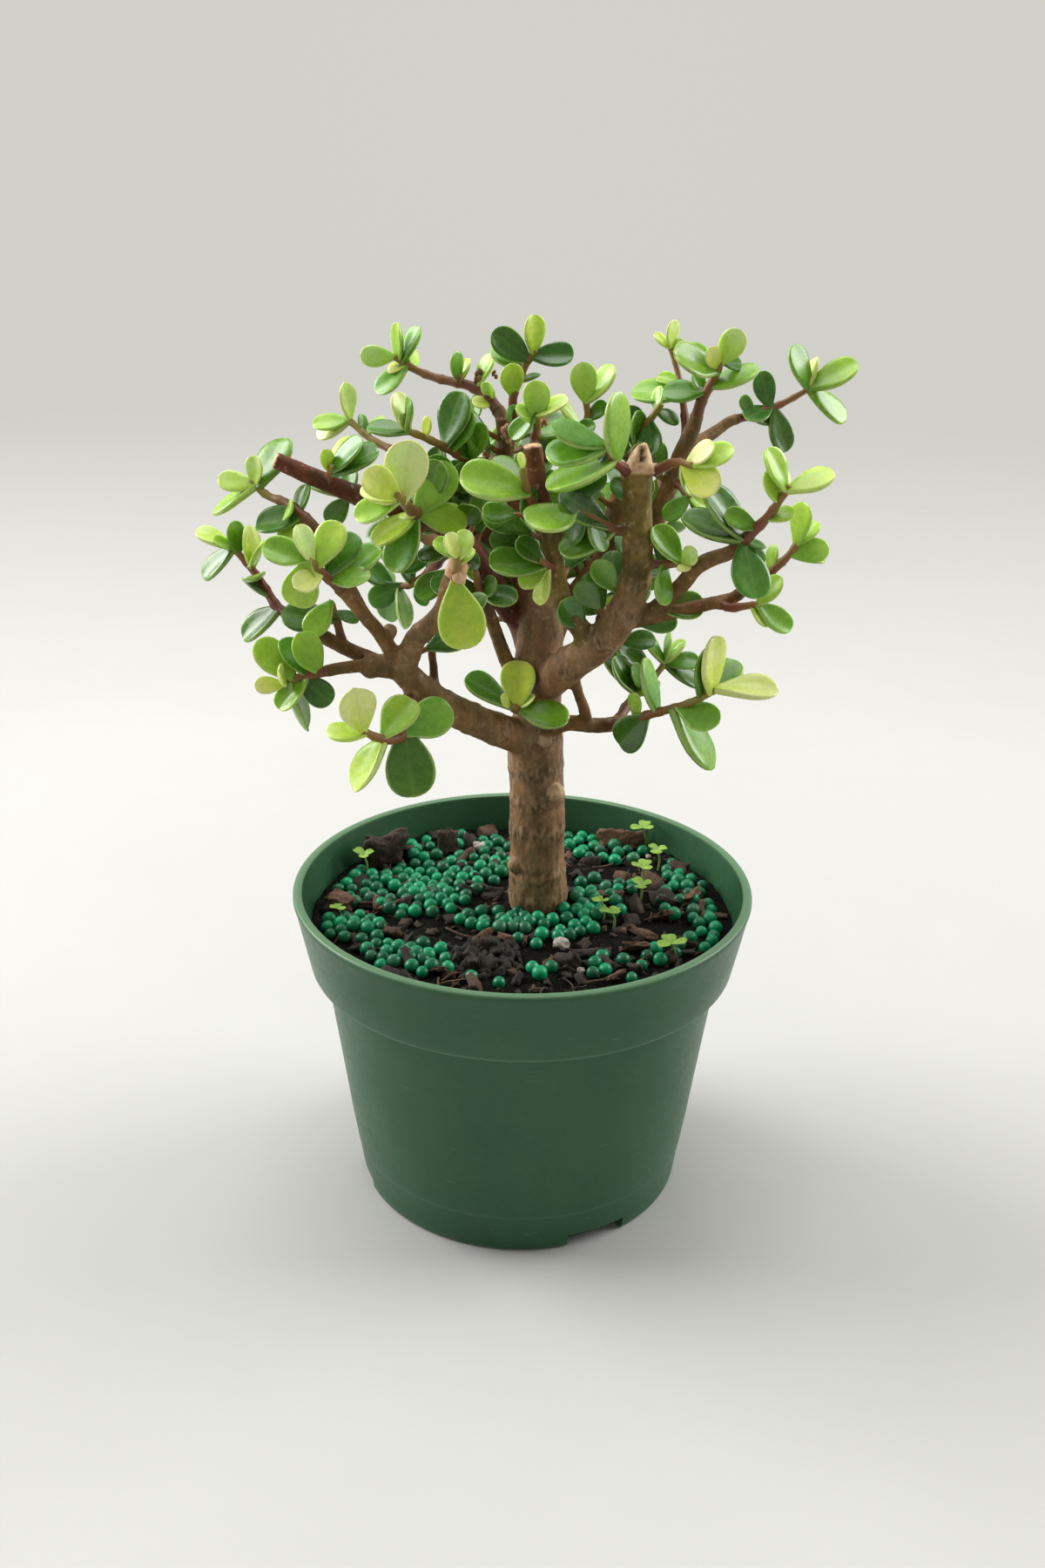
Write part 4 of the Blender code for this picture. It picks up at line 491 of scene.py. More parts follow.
def along(points, distance):
    """The point and the direction at this distance along the points."""
    total = lengths(points)
    distance = min(max(distance, 0.0), total[-1])
    for i in range(len(points) - 1):
        if distance <= total[i + 1] or i == len(points) - 2:
            run = points[i + 1] - points[i]
            share = (distance - total[i]) / run.length
            return points[i] + run * share, run.normalized()


def stretch(points, start, end):
    """The piece of the polyline from start to end, without the points that lie close to a cut."""
    room = 0.4
    kept = [along(points, start)[0]]
    for point, distance in zip(points, lengths(points)):
        if start + room < distance < end - room:
            kept.append(point)
    kept.append(along(points, end)[0])
    return kept


def any_square_to(direction):
    across = Vector((0, 0, 1)).cross(direction)
    if across.length < 0.2:
        across = Vector((1, 0, 0)).cross(direction)
    return across.normalized()


def between_rings(low, high, sides):
    """Quads from the ring of points that starts at low to the one that starts at high."""
    turns = [(i, (i + 1) % sides) for i in range(sides)]
    return [(low + i, low + j, high + j, high + i) for i, j in turns]


def tube_mesh(points, radii, sides):
    """Points and faces of a round tube, its rings carried along without twist."""
    runs = [(b - a).normalized() for a, b in zip(points, points[1:])]
    tangents = [runs[0]]
    for a, b in zip(runs, runs[1:]):
        tangents.append((a + b).normalized())
    tangents.append(runs[-1])
    side = any_square_to(tangents[0])
    ring_points = []
    for point, radius, tangent in zip(points, radii, tangents):
        side = (side - tangent * side.dot(tangent)).normalized()
        other = tangent.cross(side)
        for i in range(sides):
            turn = 2 * math.pi * (i + 0.5) / sides
            ring_points.append(point + (side * math.cos(turn) + other * math.sin(turn)) * radius)
    faces = []
    for k in range(len(points) - 1):
        faces += between_rings(k * sides, (k + 1) * sides, sides)
    faces.append(tuple(reversed(range(sides))))
    faces.append(tuple(range(len(ring_points) - sides, len(ring_points))))
    return ring_points, faces


def tapered(points, start_radius, end_radius):
    total = lengths(points)
    return [start_radius + (end_radius - start_radius) * d / total[-1] for d in total]


# Leaves


def half_thickness(length):
    return max(LEAF_LEAST_HALF, LEAF_HALF_THICKNESS * length)


def leaf_mesh(root, direction, normal, length, grow=0.0, start=0.0):
    """A thick blade of two four-cornered rings between two points. grow swells it, for a clearance test."""
    side = direction.cross(normal)
    heel = start * length if start else -0.6
    points = [root + direction * heel + normal * (LEAF_ARCH * length * start * start)]
    stations = ((0.37, 1.0, 1.0), (0.76, 0.9, 0.85))
    for share, width, thick in stations:
        half_width = LEAF_HALF_WIDTH * length * width + grow
        half_thick = half_thickness(length) * thick + grow
        middle = root + direction * (length * share) + normal * (LEAF_ARCH * length * share * share)
        points.append(middle - side * half_width)
        points.append(middle + normal * half_thick)
        points.append(middle + side * half_width)
        points.append(middle - normal * half_thick)
    points.append(root + direction * (length + grow) + normal * (LEAF_ARCH * length))
    faces = []
    for i in range(4):
        j = (i + 1) % 4
        faces.append((0, 1 + j, 1 + i))
        faces.append((1 + i, 1 + j, 5 + j, 5 + i))
        faces.append((5 + i, 5 + j, 9))
    return points, faces


def tree_of(points, faces):
    return BVHTree.FromPolygons([tuple(p) for p in points], faces)


class Shape:
    """A placed stem or leaf, kept for the clearance tests."""

    def __init__(self, owner, points, faces):
        self.owner = owner
        self.low = [min(p[i] for p in points) for i in range(3)]
        self.high = [max(p[i] for p in points) for i in range(3)]
        self.tree = tree_of(points, faces)

    def near(self, other):
        return all(self.low[i] <= other.high[i] and other.low[i] <= self.high[i] for i in range(3))

    def meets(self, other):
        return self.near(other) and bool(self.tree.overlap(other.tree))


def nearest_share(route, across, up):
    """The depth of the route where it shows nearest to (across, up)."""
    best = (1e9, 0.0)
    for a, b in zip(route, route[1:]):
        run = Vector((b[0] - a[0], b[1] - a[1]))
        to = Vector((across - a[0], up - a[1]))
        share = min(max(to.dot(run) / max(run.length_squared, 1e-6), 0.0), 1.0)
        gap = (to - run * share).length
        if gap < best[0]:
            best = (gap, a[2] + (b[2] - a[2]) * share)
    return best[1]


def aimed_leaf(stem, tip, length, turn):
    """Root, direction, normal and length of a leaf whose tip lies near tip.

    The root is where the stem suits the length best. Turn is how far the blade is turned off the viewer."""
    reach = lengths(stem)[-1]
    best = None
    first_root = 0.9
    steps = 24
    for i in range(steps + 1):
        distance = first_root + (reach - first_root) * i / steps
        point, tangent = along(stem, distance)
        gap = tip - point
        backward = max(0.0, -gap.normalized().dot(tangent))
        cost = abs(gap.length - length) + 1.2 * backward
        if best is None or cost < best[0]:
            best = (cost, point, gap)
    _, root, gap = best
    direction = gap.normalized()
    fitted = min(max(gap.length, 0.85 * length), 1.12 * length)
    flat = SEEN_FROM - root
    flat = (flat - direction * flat.dot(direction)).normalized()
    upward = direction.cross(flat)
    if upward.z < 0:
        upward = -upward
    turn = math.radians(turn)
    return root, direction, flat * math.cos(turn) + upward * math.sin(turn), fitted


def paired_leaves(stem, pairs, roll, rng):
    """Opposite pairs, each turned a quarter from the one before, smaller towards the tip."""
    reach = lengths(stem)[-1]
    leaves = []
    for k in range(pairs):
        share = (k + 0.6) / pairs
        root, tangent = along(stem, reach * share)
        side = any_square_to(tangent)
        turn = Matrix.Rotation(math.radians(roll + 90 * k + rng.uniform(-12, 12)), 3, tangent)
        side = turn @ side
        tilt = math.radians(62 - 26 * share + rng.uniform(-6, 6))
        length = LEAF_LENGTH * (1.0 - 0.24 * share) * rng.uniform(0.92, 1.06)
        for way in (1, -1):
            direction = (tangent * math.cos(tilt) + side * (way * math.sin(tilt))).normalized()
            normal = (tangent - direction * tangent.dot(direction)).normalized()
            leaves.append((root, direction, normal, length))
    return leaves


# A leaf is tested against its own shoot's leaves from this share of its length on, since their roots meet.
LEAF_OWN_START = 0.3

# Each try turns a leaf by degrees away from the viewer and in its own plane, and shortens it.
TRIES = [(0, 0, 1.0)] + [
    (deep, flat, scale)
    for scale in (1.0, 0.93, 0.85, 0.75)
    for deep, flat in ((8, 0), (-8, 0), (16, 0), (-16, 0), (0, 6), (0, -6), (12, 8), (-12, 8), (12, -8),
                       (-12, -8), (26, 0), (-26, 0), (0, 13), (0, -13), (24, 10), (-24, 10), (24, -10),
                       (-24, -10), (38, 0), (-38, 0), (36, 14), (-36, 14), (36, -14), (-36, -14))
]


def settled_leaf(owner, leaf, placed, own):
    """The leaf turned a little, or made smaller, until it is clear of what is placed; None if it can't be."""
    root, direction, normal, length = leaf
    viewed = (SEEN_FROM - root).normalized()
    hinge = direction.cross(viewed).normalized()
    spare = None
    for deep, flat, scale in TRIES:
        turn = Matrix.Rotation(math.radians(flat), 3, viewed) @ Matrix.Rotation(math.radians(deep), 3, hinge)
        tried = (root, turn @ direction, turn @ normal, length * scale)
        shape = Shape(owner, *leaf_mesh(*tried, grow=LEAF_CLEARANCE))
        if any(shape.meets(other) for other in placed if other.owner != owner):
            continue
        if spare is None:
            spare = tried
        outer = Shape(owner, *leaf_mesh(*tried, start=LEAF_OWN_START))
        if any(outer.meets(other) for other in own):
            continue
        return tried
    return spare


def limb_route(name):
    """The points and radii of a limb. The trunk's start at its foot, inside the mix."""
    knots = LIMBS[name][1:]
    points = [seen(*knot[:3]) for knot in knots]
    radii = [knot[3] for knot in knots]
    if name == "trunk":
        foot = Vector(TRUNK_FOOT)
        points = [foot, Vector((foot.x, foot.y, TRUNK_COLLAR)), *points[1:]]
        radii = [TRUNK_FOOT_RADIUS, TRUNK_FOOT_RADIUS, *radii[1:]]
    return points, radii


def spur_route(name):
    """The short piece of old wood that a shoot stands on."""
    parent_radius, start_radius, _, route, _ = SHOOTS[name]
    points = [seen(*knot) for knot in route]
    spur = stretch(points, 0.0, parent_radius + SPUR_LENGTH)
    return spur, [start_radius * SPUR_SWELL] * len(spur)


def stem_route(name):
    """The young stem of a shoot, from a small gap above its spur."""
    parent_radius, start_radius, end_radius, route, _ = SHOOTS[name]
    points = [seen(*knot) for knot in route]
    stem = stretch(points, parent_radius + SPUR_LENGTH + NODE_GAP, lengths(points)[-1])
    return stem, tapered(stem, start_radius, end_radius)


def asked_leaves(name, stem, rng):
    """The leaves that a shoot should carry, and their tones."""
    route, wanted = SHOOTS[name][3:]
    if not wanted:
        asked = paired_leaves(stem, BACK_PAIRS, rng.uniform(0, 90), rng)
        return asked, [0.3 + 0.08 * k for k in range(len(asked))]
    asked = []
    for across, up, back, length, turn, _ in wanted:
        depth = nearest_share(route, across, up) + back
        asked.append(aimed_leaf(stem, seen(across, up, depth), length, turn))
    return asked, [leaf[-1] for leaf in wanted]


def laid_out():
    """Every shoot's stem and its settled leaves, kept clear of the wood and of each other."""
    tubes = [(*limb_route(name), LIMBS[name][0]) for name in LIMBS]
    tubes += [(*spur_route(name), TWIG_SIDES) for name in SHOOTS]
    stems = {name: stem_route(name) for name in SHOOTS}
    placed = [Shape("wood", *tube_mesh(*tube)) for tube in tubes]
    for name, (stem, radii) in stems.items():
        placed.append(Shape(name, *tube_mesh(stem, radii, STEM_SIDES)))
    leaves = {}
    for index, name in enumerate(SHOOTS):
        rng = random.Random(40 + index)
        own = []
        leaves[name] = []
        for leaf, tone in zip(*asked_leaves(name, stems[name][0], rng)):
            settled = settled_leaf(name, leaf, placed, own)
            if settled is None:
                continue
            leaves[name].append((settled, tone))
            placed.append(Shape(name, *leaf_mesh(*settled)))
            own.append(Shape(name, *leaf_mesh(*settled, start=LEAF_OWN_START)))
    return stems, leaves


def bed_places(x, y, count):
    """Places of the prills of one bed: the nearest ones to its centre on a honeycomb."""
    row_gap = PRILL_SPACING * 0.866
    reach = range(-6, 7)
    places = []
    for row in reach:
        for column in reach:
            px = x + PRILL_SPACING * (column + 0.5 * (row % 2))
            py = y + row_gap * row
            if off_trunk(px, py) < TRUNK_FOOT_RADIUS + PRILL_RADIUS + 0.6:
                continue
            if math.hypot(px, py) > BED_EDGE:
                continue
            places.append((math.hypot((px - x) * 0.8, py - y), px, py))
    return [(px, py) for _, px, py in sorted(places)[:count]]



# Each ring scar: its limb, its distance along it and its height.
RING_SCARS = (
    ("trunk", 14.0, 0.45), ("trunk", 25.0, 0.3), ("trunk", 31.5, 0.5), ("trunk", 44.0, 0.3),
    ("trunk", 52.0, 0.35), ("trunk", 60.0, 0.3), ("trunk", 68.0, 0.3),
    ("right_limb", 14.0, 0.35), ("right_limb", 27.0, 0.4), ("right_limb", 35.0, 0.3),
    ("right_limb", 43.0, 0.35), ("right_limb", 52.0, 0.35),
    ("left_limb", 11.0, 0.35), ("left_limb", 20.0, 0.35), ("left_limb", 29.0, 0.35),
    ("left_rise", 7.0, 0.3), ("left_rise", 16.0, 0.3), ("centre_left", 12.0, 0.3),
    ("centre_left", 24.0, 0.3), ("centre_left", 37.0, 0.3), ("centre_olive", 12.0, 0.25),
    ("centre_olive", 24.0, 0.25), ("centre_olive", 34.0, 0.25), ("back_right", 10.0, 0.3),
    ("back_right", 22.0, 0.3), ("cut_branch", 14.0, 0.3), ("cut_branch", 27.0, 0.3),
    ("cut_branch", 41.0, 0.3), ("cut_branch", 52.0, 0.3),
)

# Each knot: where it shows, its depth, its radius and how pale it is.
KNOTS = (
    (7.8, 105.5, 0.5, 2.3, 0.75), (-2.2, 85.5, 2.0, 1.9, 0.2), (-32.0, 146.0, -17.5, 1.9, 0.25),
    (-36.5, 137.3, -16.0, 3.0, 0.0), (5.0, 119.0, -0.5, 1.8, 0.4), (12.0, 141.5, -7.0, 2.4, 0.3),
)

# The pointed stub above the right limb's last leaves, as (across, up, back, radius).
POINTED_STUB = ((25.0, 182.5, -15.2, 3.2), (25.2, 185.6, -15.3, 3.1), (25.5, 188.2, -15.5, 2.3),
                (26.0, 191.0, -15.8, 0.8))
RIGHT_LIMB_END = (25.0, 184.8, -15.1)

# Where the trunk's round top runs on inside the fork.
TRUNK_TOP = ((5.0, 156.0, 8.0, 3.3), (5.5, 160.0, 10.0, 1.8))

# The limbs that end in a pale cut.
CUT_ENDS = ("right_limb", "centre_olive", "cut_branch", "left_rise", "left_limb", "left_upright",
            "centre_brown", "left_twig")

# How red and how olive the bark of a limb is. Others are warm tan.
LIMB_TONES = {
    "trunk": (0.12, 0.1), "centre_left": (0.6, 0.1), "centre_olive": (0.1, 0.8), "right_limb": (0.1, 0.4),
    "cut_branch": (1.0, 0.0), "left_twig": (0.8, 0.1), "left_limb": (0.1, 0.25), "left_rise": (0.15, 0.2),
    "back_right": (0.3, 0.3), "right_long": (0.5, 0.2), "right_rise": (0.4, 0.3), "low_twig": (0.5, 0.3),
    "centre_brown": (0.7, 0.1), "left_tall": (0.4, 0.3), "left_long": (0.5, 0.2), "left_fork": (0.4, 0.3),
}


# Meshes and pieces


def mesh_piece(name, points, faces, material, smooth=True):
    mesh = bpy.data.meshes.new(name)
    mesh.from_pydata((np.asarray(points, float) * MM).tolist(), [], [tuple(f) for f in faces])
    mesh.update()
    piece = bpy.data.objects.new(name, mesh)
    bpy.context.scene.collection.objects.link(piece)
    mesh.materials.append(material)
    mesh.polygons.foreach_set("use_smooth", [smooth] * len(mesh.polygons))
    return piece


def applied(piece):
    """The piece with its modifiers worked into its mesh."""
    graph = bpy.context.evaluated_depsgraph_get()
    made = bpy.data.meshes.new_from_object(piece.evaluated_get(graph))
    piece.modifiers.clear()
    piece.data = made
    return piece


class Sheaf:
    """Gathers many small bodies, with their colour values and grid places, into one mesh."""

    def __init__(self):
        self.points = []
        self.faces = []
        self.tints = []
        self.places = []

    def add(self, points, faces, tint, places=None):
        base = len(self.points)
        self.points.extend(points)
        self.faces.extend([tuple(base + i for i in face) for face in faces])
        self.tints.extend([tint] * len(points))
        self.places.extend(places if places is not None else [(0.0, 0.0, 0.0)] * len(points))

    def piece(self, name, material):
        made = mesh_piece(name, [tuple(p) for p in self.points], self.faces, material)
        tint = made.data.attributes.new("tint", "FLOAT_COLOR", "POINT")
        tint.data.foreach_set("color", [c for t in self.tints for c in (*t, 1.0)])
        place = made.data.attributes.new("place", "FLOAT_VECTOR", "POINT")
        place.data.foreach_set("vector", [c for p in self.places for c in p])
        return made


def curve_through(knots, step):
    """Points a step apart on a smooth curve through the knots. A fourth value, such as a radius, is kept."""
    knots = [np.array(k, float) for k in knots]
    ends = [2 * knots[0] - knots[1]] + knots + [2 * knots[-1] - knots[-2]]
    made = []
    for a, b, c, d in zip(ends, ends[1:], ends[2:], ends[3:]):
        count = max(2, int(np.linalg.norm((c - b)[:3]) / step))
        for i in range(count):
            t = i / count
            made.append(0.5 * (2 * b + (c - a) * t + (2 * a - 5 * b + 4 * c - d) * t * t
                               + (3 * b - a - 3 * c + d) * t ** 3))
    made.append(knots[-1])
    return made


def round_tube(points, radii, sides, crown=0.0):
    """A tube whose end is rounded by crown, so that a cut end has a worn edge."""
    points = [Vector(p) for p in points]
    if crown:
        run = (points[-1] - points[-2]).normalized()
        last = points[-1]
        points += [last + run * (0.12 * crown), last + run * (0.16 * crown)]
        radii = [*radii, radii[-1] * 0.9, radii[-1] * 0.55]
    return tube_mesh(points, radii, sides)


def random_shift(rng, reach):
    return Vector([rng.uniform(-reach, reach) for _ in range(3)])


def ball(centre, radius, fineness, rng, uneven=0.0, flat=1.0):
    """A slightly uneven ball."""
    builder = bmesh.new()
    bmesh.ops.create_icosphere(builder, subdivisions=fineness, radius=1.0)
    builder.verts.ensure_lookup_table()
    shift = random_shift(rng, 50)
    points = []
    for vertex in builder.verts:
        out = 1 + uneven * noise.noise(vertex.co * 1.3 + shift)
        points.append(centre + Vector((vertex.co.x, vertex.co.y, vertex.co.z * flat)) * (radius * out))
    faces = [tuple(v.index for v in f.verts) for f in builder.faces]
    builder.free()
    return points, faces


# The leafy shoots

LEAF_STEPS = 15
LEAF_ACROSS = 9


def leaf_outline(u):
    """The half width and half depth of a leaf at this share of its length, each as a share of the most."""
    broadest = 0.62
    if u < broadest:
        wide = 0.2 + 0.8 * math.sin(0.5 * math.pi * u / broadest) ** 1.25
    else:
        wide = max(0.0, 1 - abs((u - broadest) / (1 - broadest)) ** 2.4) ** 0.5
    heel = 0.15
    if u < heel:
        return wide, 0.75 + 0.2 * u / heel
    return wide, max(0.03, 1 - abs((u - 0.42) / 0.6) ** 2.6) ** 0.6


def leaf_body(root, direction, normal, length, rng):
    """A fleshy leaf: an egg-shaped outline, a soft round margin and a shallow cup, with grid places."""
    side = direction.cross(normal)
    broad = LEAF_HALF_WIDTH * length * rng.uniform(0.88, 1.03)
    cup = rng.uniform(0.12, 0.5)
    curl = rng.uniform(0.0, 0.15)
    twist = rng.uniform(-0.22, 0.22)
    wave = rng.uniform(0, 6.28)
    skew = rng.uniform(-0.05, 0.05)
    around = 2 * LEAF_ACROSS
    points = []
    places = []
    rows = []
    for k in range(LEAF_STEPS + 1):
        u = 0.5 - 0.5 * math.cos(math.pi * k / LEAF_STEPS)
        wide, deep = leaf_outline(u)
        half = broad * wide
        depth = half_thickness(length) * deep
        bend = curl * length * u * u
        middle = root + direction * (length * u - 0.4 * (1 - u)) + normal * bend
        ripple = 0.012 * length * math.sin(7 * u + wave)
        rows.append(range(len(points), len(points) + around))
        for i in range(around):
            turn = 2 * math.pi * i / around
            v = math.cos(turn)
            across = half * (v + skew * math.sin(math.pi * u))
            rise = depth * math.copysign(abs(math.sin(turn)) ** 0.75, math.sin(turn))
            fold = cup * half * (0.55 * abs(v) ** 1.15 + 0.45 * v * v - 0.3)
            lift = fold + twist * half * v * u + ripple * v
            points.append(middle + side * across + normal * (rise + lift))
            places.append((u, v, 1.0 if math.sin(turn) > 0 else 0.0))
    faces = [tuple(rows[0])]
    for low, high in zip(rows, rows[1:]):
        for i in range(around):
            j = (i + 1) % around
            faces.append((high[j], high[i], low[i], low[j]))
    faces.append(tuple(reversed(rows[-1])))
    return points, faces, places


def stem_body(stem, radii):
    """A young stem with slightly swollen joints, its foot let into the spur."""
    sides = 10
    joint_gap = 4.2
    knots = [(*p, r) for p, r in zip(stem, radii)]
    run = (stem[0] - stem[1]).normalized()
    knots.insert(0, (*(stem[0] + run * 1.4), radii[0]))
    fine = curve_through(knots, 0.8)
    points = [Vector(p[:3]) for p in fine]
    thick = []
    for p, d in zip(fine, lengths(points)):
        joint = 0.5 + 0.5 * math.cos(2 * math.pi * d / joint_gap)
        thick.append(p[3] * (0.92 + 0.2 * joint ** 4))
    body, faces = round_tube(points, thick, sides, crown=1.2)
    last = max(1, len(points) - 1)
    places = [(min(1.0, (i // sides) / last), 0.0, 0.5) for i in range(len(body))]
    return body, faces, places


def leafy_pieces(stems, leaves, leaf_material, stem_material):
    """The leaves and the young stem of each shoot."""
    for index, (name, (stem, radii)) in enumerate(stems.items()):
        rng = random.Random(500 + index)
        green = Sheaf()
        for leaf, tone in leaves[name]:
            body, faces, places = leaf_body(*leaf, rng)
            age = rng.random()
            green.add(body, faces, (tone, age, rng.random()), places)
        piece = green.piece(name + "_leaves", leaf_material)
        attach(piece, "root")
        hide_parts(name)
        young = Sheaf()
        body, faces, places = stem_body(stem, radii)
        young.add(body, faces, (rng.uniform(0.2, 1), 0, 0), places)
        twig = young.piece(name + "_stem", stem_material)
        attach(twig, "root")
        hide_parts(name)


# The limbs that carry a few old leaves deep inside the crown, and where along each they start and stop.
INNER_LIMBS = {
    "centre_left": (12.0, 58.0), "centre_brown": (8.0, 32.0), "back_right": (14.0, 44.0),
    "back_centre": (14.0, 42.0), "back_left": (6.0, 34.0), "cut_branch": (12.0, 40.0),
    "centre_olive": (18.0, 46.0), "back_right_top": (4.0, 22.0), "right_limb": (24.0, 44.0),
    "left_rise": (6.0, 20.0),
}
BARE_IN_FRONT = ("centre_olive", "right_limb")
CROWN_MIDDLE = (3.0, 6.0)
INNER_REACH = 34.0
INNER_TOP = 200.0


def old_leaf(point, run, out, rng):
    """Root, heading, normal and length of one old leaf that grows from point on a limb, outwards."""
    lean = run * rng.uniform(0.1, 0.5)
    rise = Vector((0, 0, rng.uniform(0.0, 0.4)))
    heading = (out + lean + rise).normalized()
    root = point + heading * rng.uniform(4.5, 7.0)
    length = rng.uniform(7.5, 11.5)
    facing = Vector((rng.uniform(-0.4, 0.4), -1.0, rng.uniform(0.3, 1.3)))
    normal = (facing - heading * facing.dot(heading)).normalized()
    return root, heading, normal, length


def inner_leaves(leaf_material, stem_material):
    """Old leaves on short stalks from the inner limbs, kept off the cut ends that show at the front."""
    rng = random.Random(77)
    green = Sheaf()
    stalks = Sheaf()
    for name, (start, end) in INNER_LIMBS.items():
        knots = [(*seen(*knot[:3]), knot[3]) for knot in LIMBS[name][1:]]
        route = [Vector(p[:3]) for p in curve_through(knots, 1.0)]
        least_back = -0.25 if name in BARE_IN_FRONT else -0.75
        where = start
        while where < end:
            point, run = along(route, where)
            turn = rng.uniform(0, 2 * math.pi)
            for half in (0.0, math.pi):
                out = Matrix.Rotation(turn + half, 3, run) @ any_square_to(run)
                if out.y < least_back:
                    continue
                leaf = old_leaf(point, run, out, rng)
                root, heading = leaf[:2]
                aside = math.hypot(root.x - CROWN_MIDDLE[0], root.y - CROWN_MIDDLE[1])
                if aside > INNER_REACH or root.z > INNER_TOP:
                    continue
                body, faces, places = leaf_body(*leaf, rng)
                green.add(body, faces, (rng.uniform(0.12, 0.5), rng.random(), rng.random()), places)
                line = [point, point + heading * 2.0, root + heading * 0.8]
                body, faces = tube_mesh(line, [0.75, 0.7, 0.6], 8)
                stalks.add(body, faces, (rng.uniform(0.3, 1), 0, 0), [(0.6, 0.0, 0.5)] * len(body))
            where += rng.uniform(2.6, 4.2)
    piece = green.piece("inner_old_leaves", leaf_material)
    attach(piece, "root")
    piece = stalks.piece("inner_stalks", stem_material)
    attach(piece, "root")


# Each bud cluster: where it shows, its depth, its reach, how many scales and how pale they are.
BUDS = (
    (-16.0, 161.6, -36.0, 2.5, 11, 0.9), (-11.0, 205.0, 18.0, 1.3, 6, 0.35), (46.0, 207.3, 24.0, 1.0, 4, 0.3),
    (-15.3, 204.5, 18.0, 0.8, 3, 0.5), (-7.6, 205.6, 18.0, 0.8, 3, 0.4), (3.4, 195.6, -6.0, 1.2, 5, 0.6),
    (-5.0, 192.6, 12.0, 1.5, 6, 0.75), (-9.5, 187.0, 12.0, 1.3, 5, 0.6),
)


def bud_pieces(material):
    """Dry bud scales packed into small clusters, each scale a turn on from the one below."""
    rng = random.Random(47)
    scale_turn = 2.4
    sheaf = Sheaf()
    for across, up, back, reach, count, pale in BUDS:
        middle = seen(across, up, back)
        for k in range(count):
            level = (k + 0.5) / count
            turn = scale_turn * k
            wide = reach * 0.55 * math.sin(math.pi * (0.15 + 0.8 * level))
            height = reach * (2.2 * level - 1.1)
            place = middle + Vector((wide * math.cos(turn), wide * math.sin(turn), height))
            body, faces = ball(place, reach * rng.uniform(0.42, 0.58), 2, rng, 0.3, 1.35)
            tone = min(1.0, pale + rng.uniform(-0.15, 0.15))
            sheaf.add(body, faces, (tone, rng.random(), level))
    piece = sheaf.piece("dry_buds", material)
    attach(piece, "root")


# The wood

BARK_VOXEL = 0.52


def limb_tone(name, point):
    """How red and how olive a limb is at this point."""
    red, olive = LIMB_TONES.get(name, (0.35, 0.25))
    if name == "right_limb":
        olive = min(0.9, max(0.1, (point.z - 158) / 9))
    elif name == "centre_olive" and point.z > 181:
        red, olive = 0.9, 0.1
    return red, olive


def limb_body(name, index, centres):
    """One limb as a fine tube, swollen at its ring scars. Its line, tones and scars are added to centres."""
    places, radii = limb_route(name)
    if name == "trunk":
        places += [seen(*knot[:3]) for knot in TRUNK_TOP]
        radii += [knot[3] for knot in TRUNK_TOP]
    elif name == "right_limb":
        places[-1] = seen(*RIGHT_LIMB_END)
    scars = [(where, height) for limb, where, height in RING_SCARS if limb == name]
    fine = curve_through([(*p, r) for p, r in zip(places, radii)], 0.9)
    points = [Vector(p[:3]) for p in fine]
    swell = []
    for point, line, distance in zip(points, fine, lengths(points)):
        radius = line[3]
        ring = 0.0
        for where, height in scars:
            close = math.exp(-(((distance - where) / 0.8) ** 2))
            radius += 0.9 * height * close
            ring = max(ring, close)
        swell.append(radius * (1 + 0.02 * math.sin(distance * 0.31 + index)))
        centres.append((*point, swell[-1], *limb_tone(name, point), ring))
    return round_tube(points, swell, 24, crown=swell[-1] if name in CUT_ENDS else 0.0)


def wood_piece(material):
    """The trunk, limbs, spurs and knots, blended into one grown body."""
    centres = []
    made = [limb_body(name, index, centres) for index, name in enumerate(LIMBS)]
    for name in SHOOTS:
        made.append(round_tube(*spur_route(name), 14))
    stub = [seen(*knot[:3]) for knot in POINTED_STUB]
    made.append(round_tube(stub, [knot[3] for knot in POINTED_STUB], 20))
    for across, up, back, radius, _ in KNOTS:
        made.append(ball(seen(across, up, back), radius, 2, random.Random(int(radius * 10)), 0.12))
    sheaf = Sheaf()
    for body, faces in made:
        sheaf.add(body, faces, (0.0, 0.0, 0.0))
    piece = mesh_piece("trunk_and_limbs_bark", [tuple(p) for p in sheaf.points], sheaf.faces, material)
    remesh = piece.modifiers.new("blend", "REMESH")
    remesh.mode = "VOXEL"
    remesh.voxel_size = BARK_VOXEL * MM
    remesh.use_smooth_shade = True
    relax = piece.modifiers.new("relax", "SMOOTH")
    relax.factor = 0.5
    relax.iterations = 5
    applied(piece)
    piece.data.materials.clear()
    piece.data.materials.append(material)
    weather(piece.data, np.array(centres))
    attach(piece, "root")
    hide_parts("trunk_and_limbs")


def point_values(mesh):
    """The places, in millimetres, and the normals of a mesh's points."""
    count = len(mesh.vertices)
    co = np.empty(count * 3)
    mesh.vertices.foreach_get("co", co)
    normals = np.empty(count * 3)
    mesh.vertex_normals.foreach_get("vector", normals)
    return co.reshape(-1, 3) / MM, normals.reshape(-1, 3)


def nearest_rows(co, centres):
    """For each point, the row of centres whose ball it lies nearest to."""
    count = len(co)
    nearest = np.zeros(count, int)
    least = np.full(count, 1e9)
    batch = 60
    for start in range(0, len(centres), batch):
        some = centres[start:start + batch]
        gap = np.linalg.norm(co[:, None, :] - some[None, :, :3], axis=2) - some[None, :, 3]
        best = gap.argmin(axis=1)
        value = gap[np.arange(count), best]
        closer = value < least
        least[closer] = value[closer]
        nearest[closer] = best[closer] + start
    return centres[nearest]


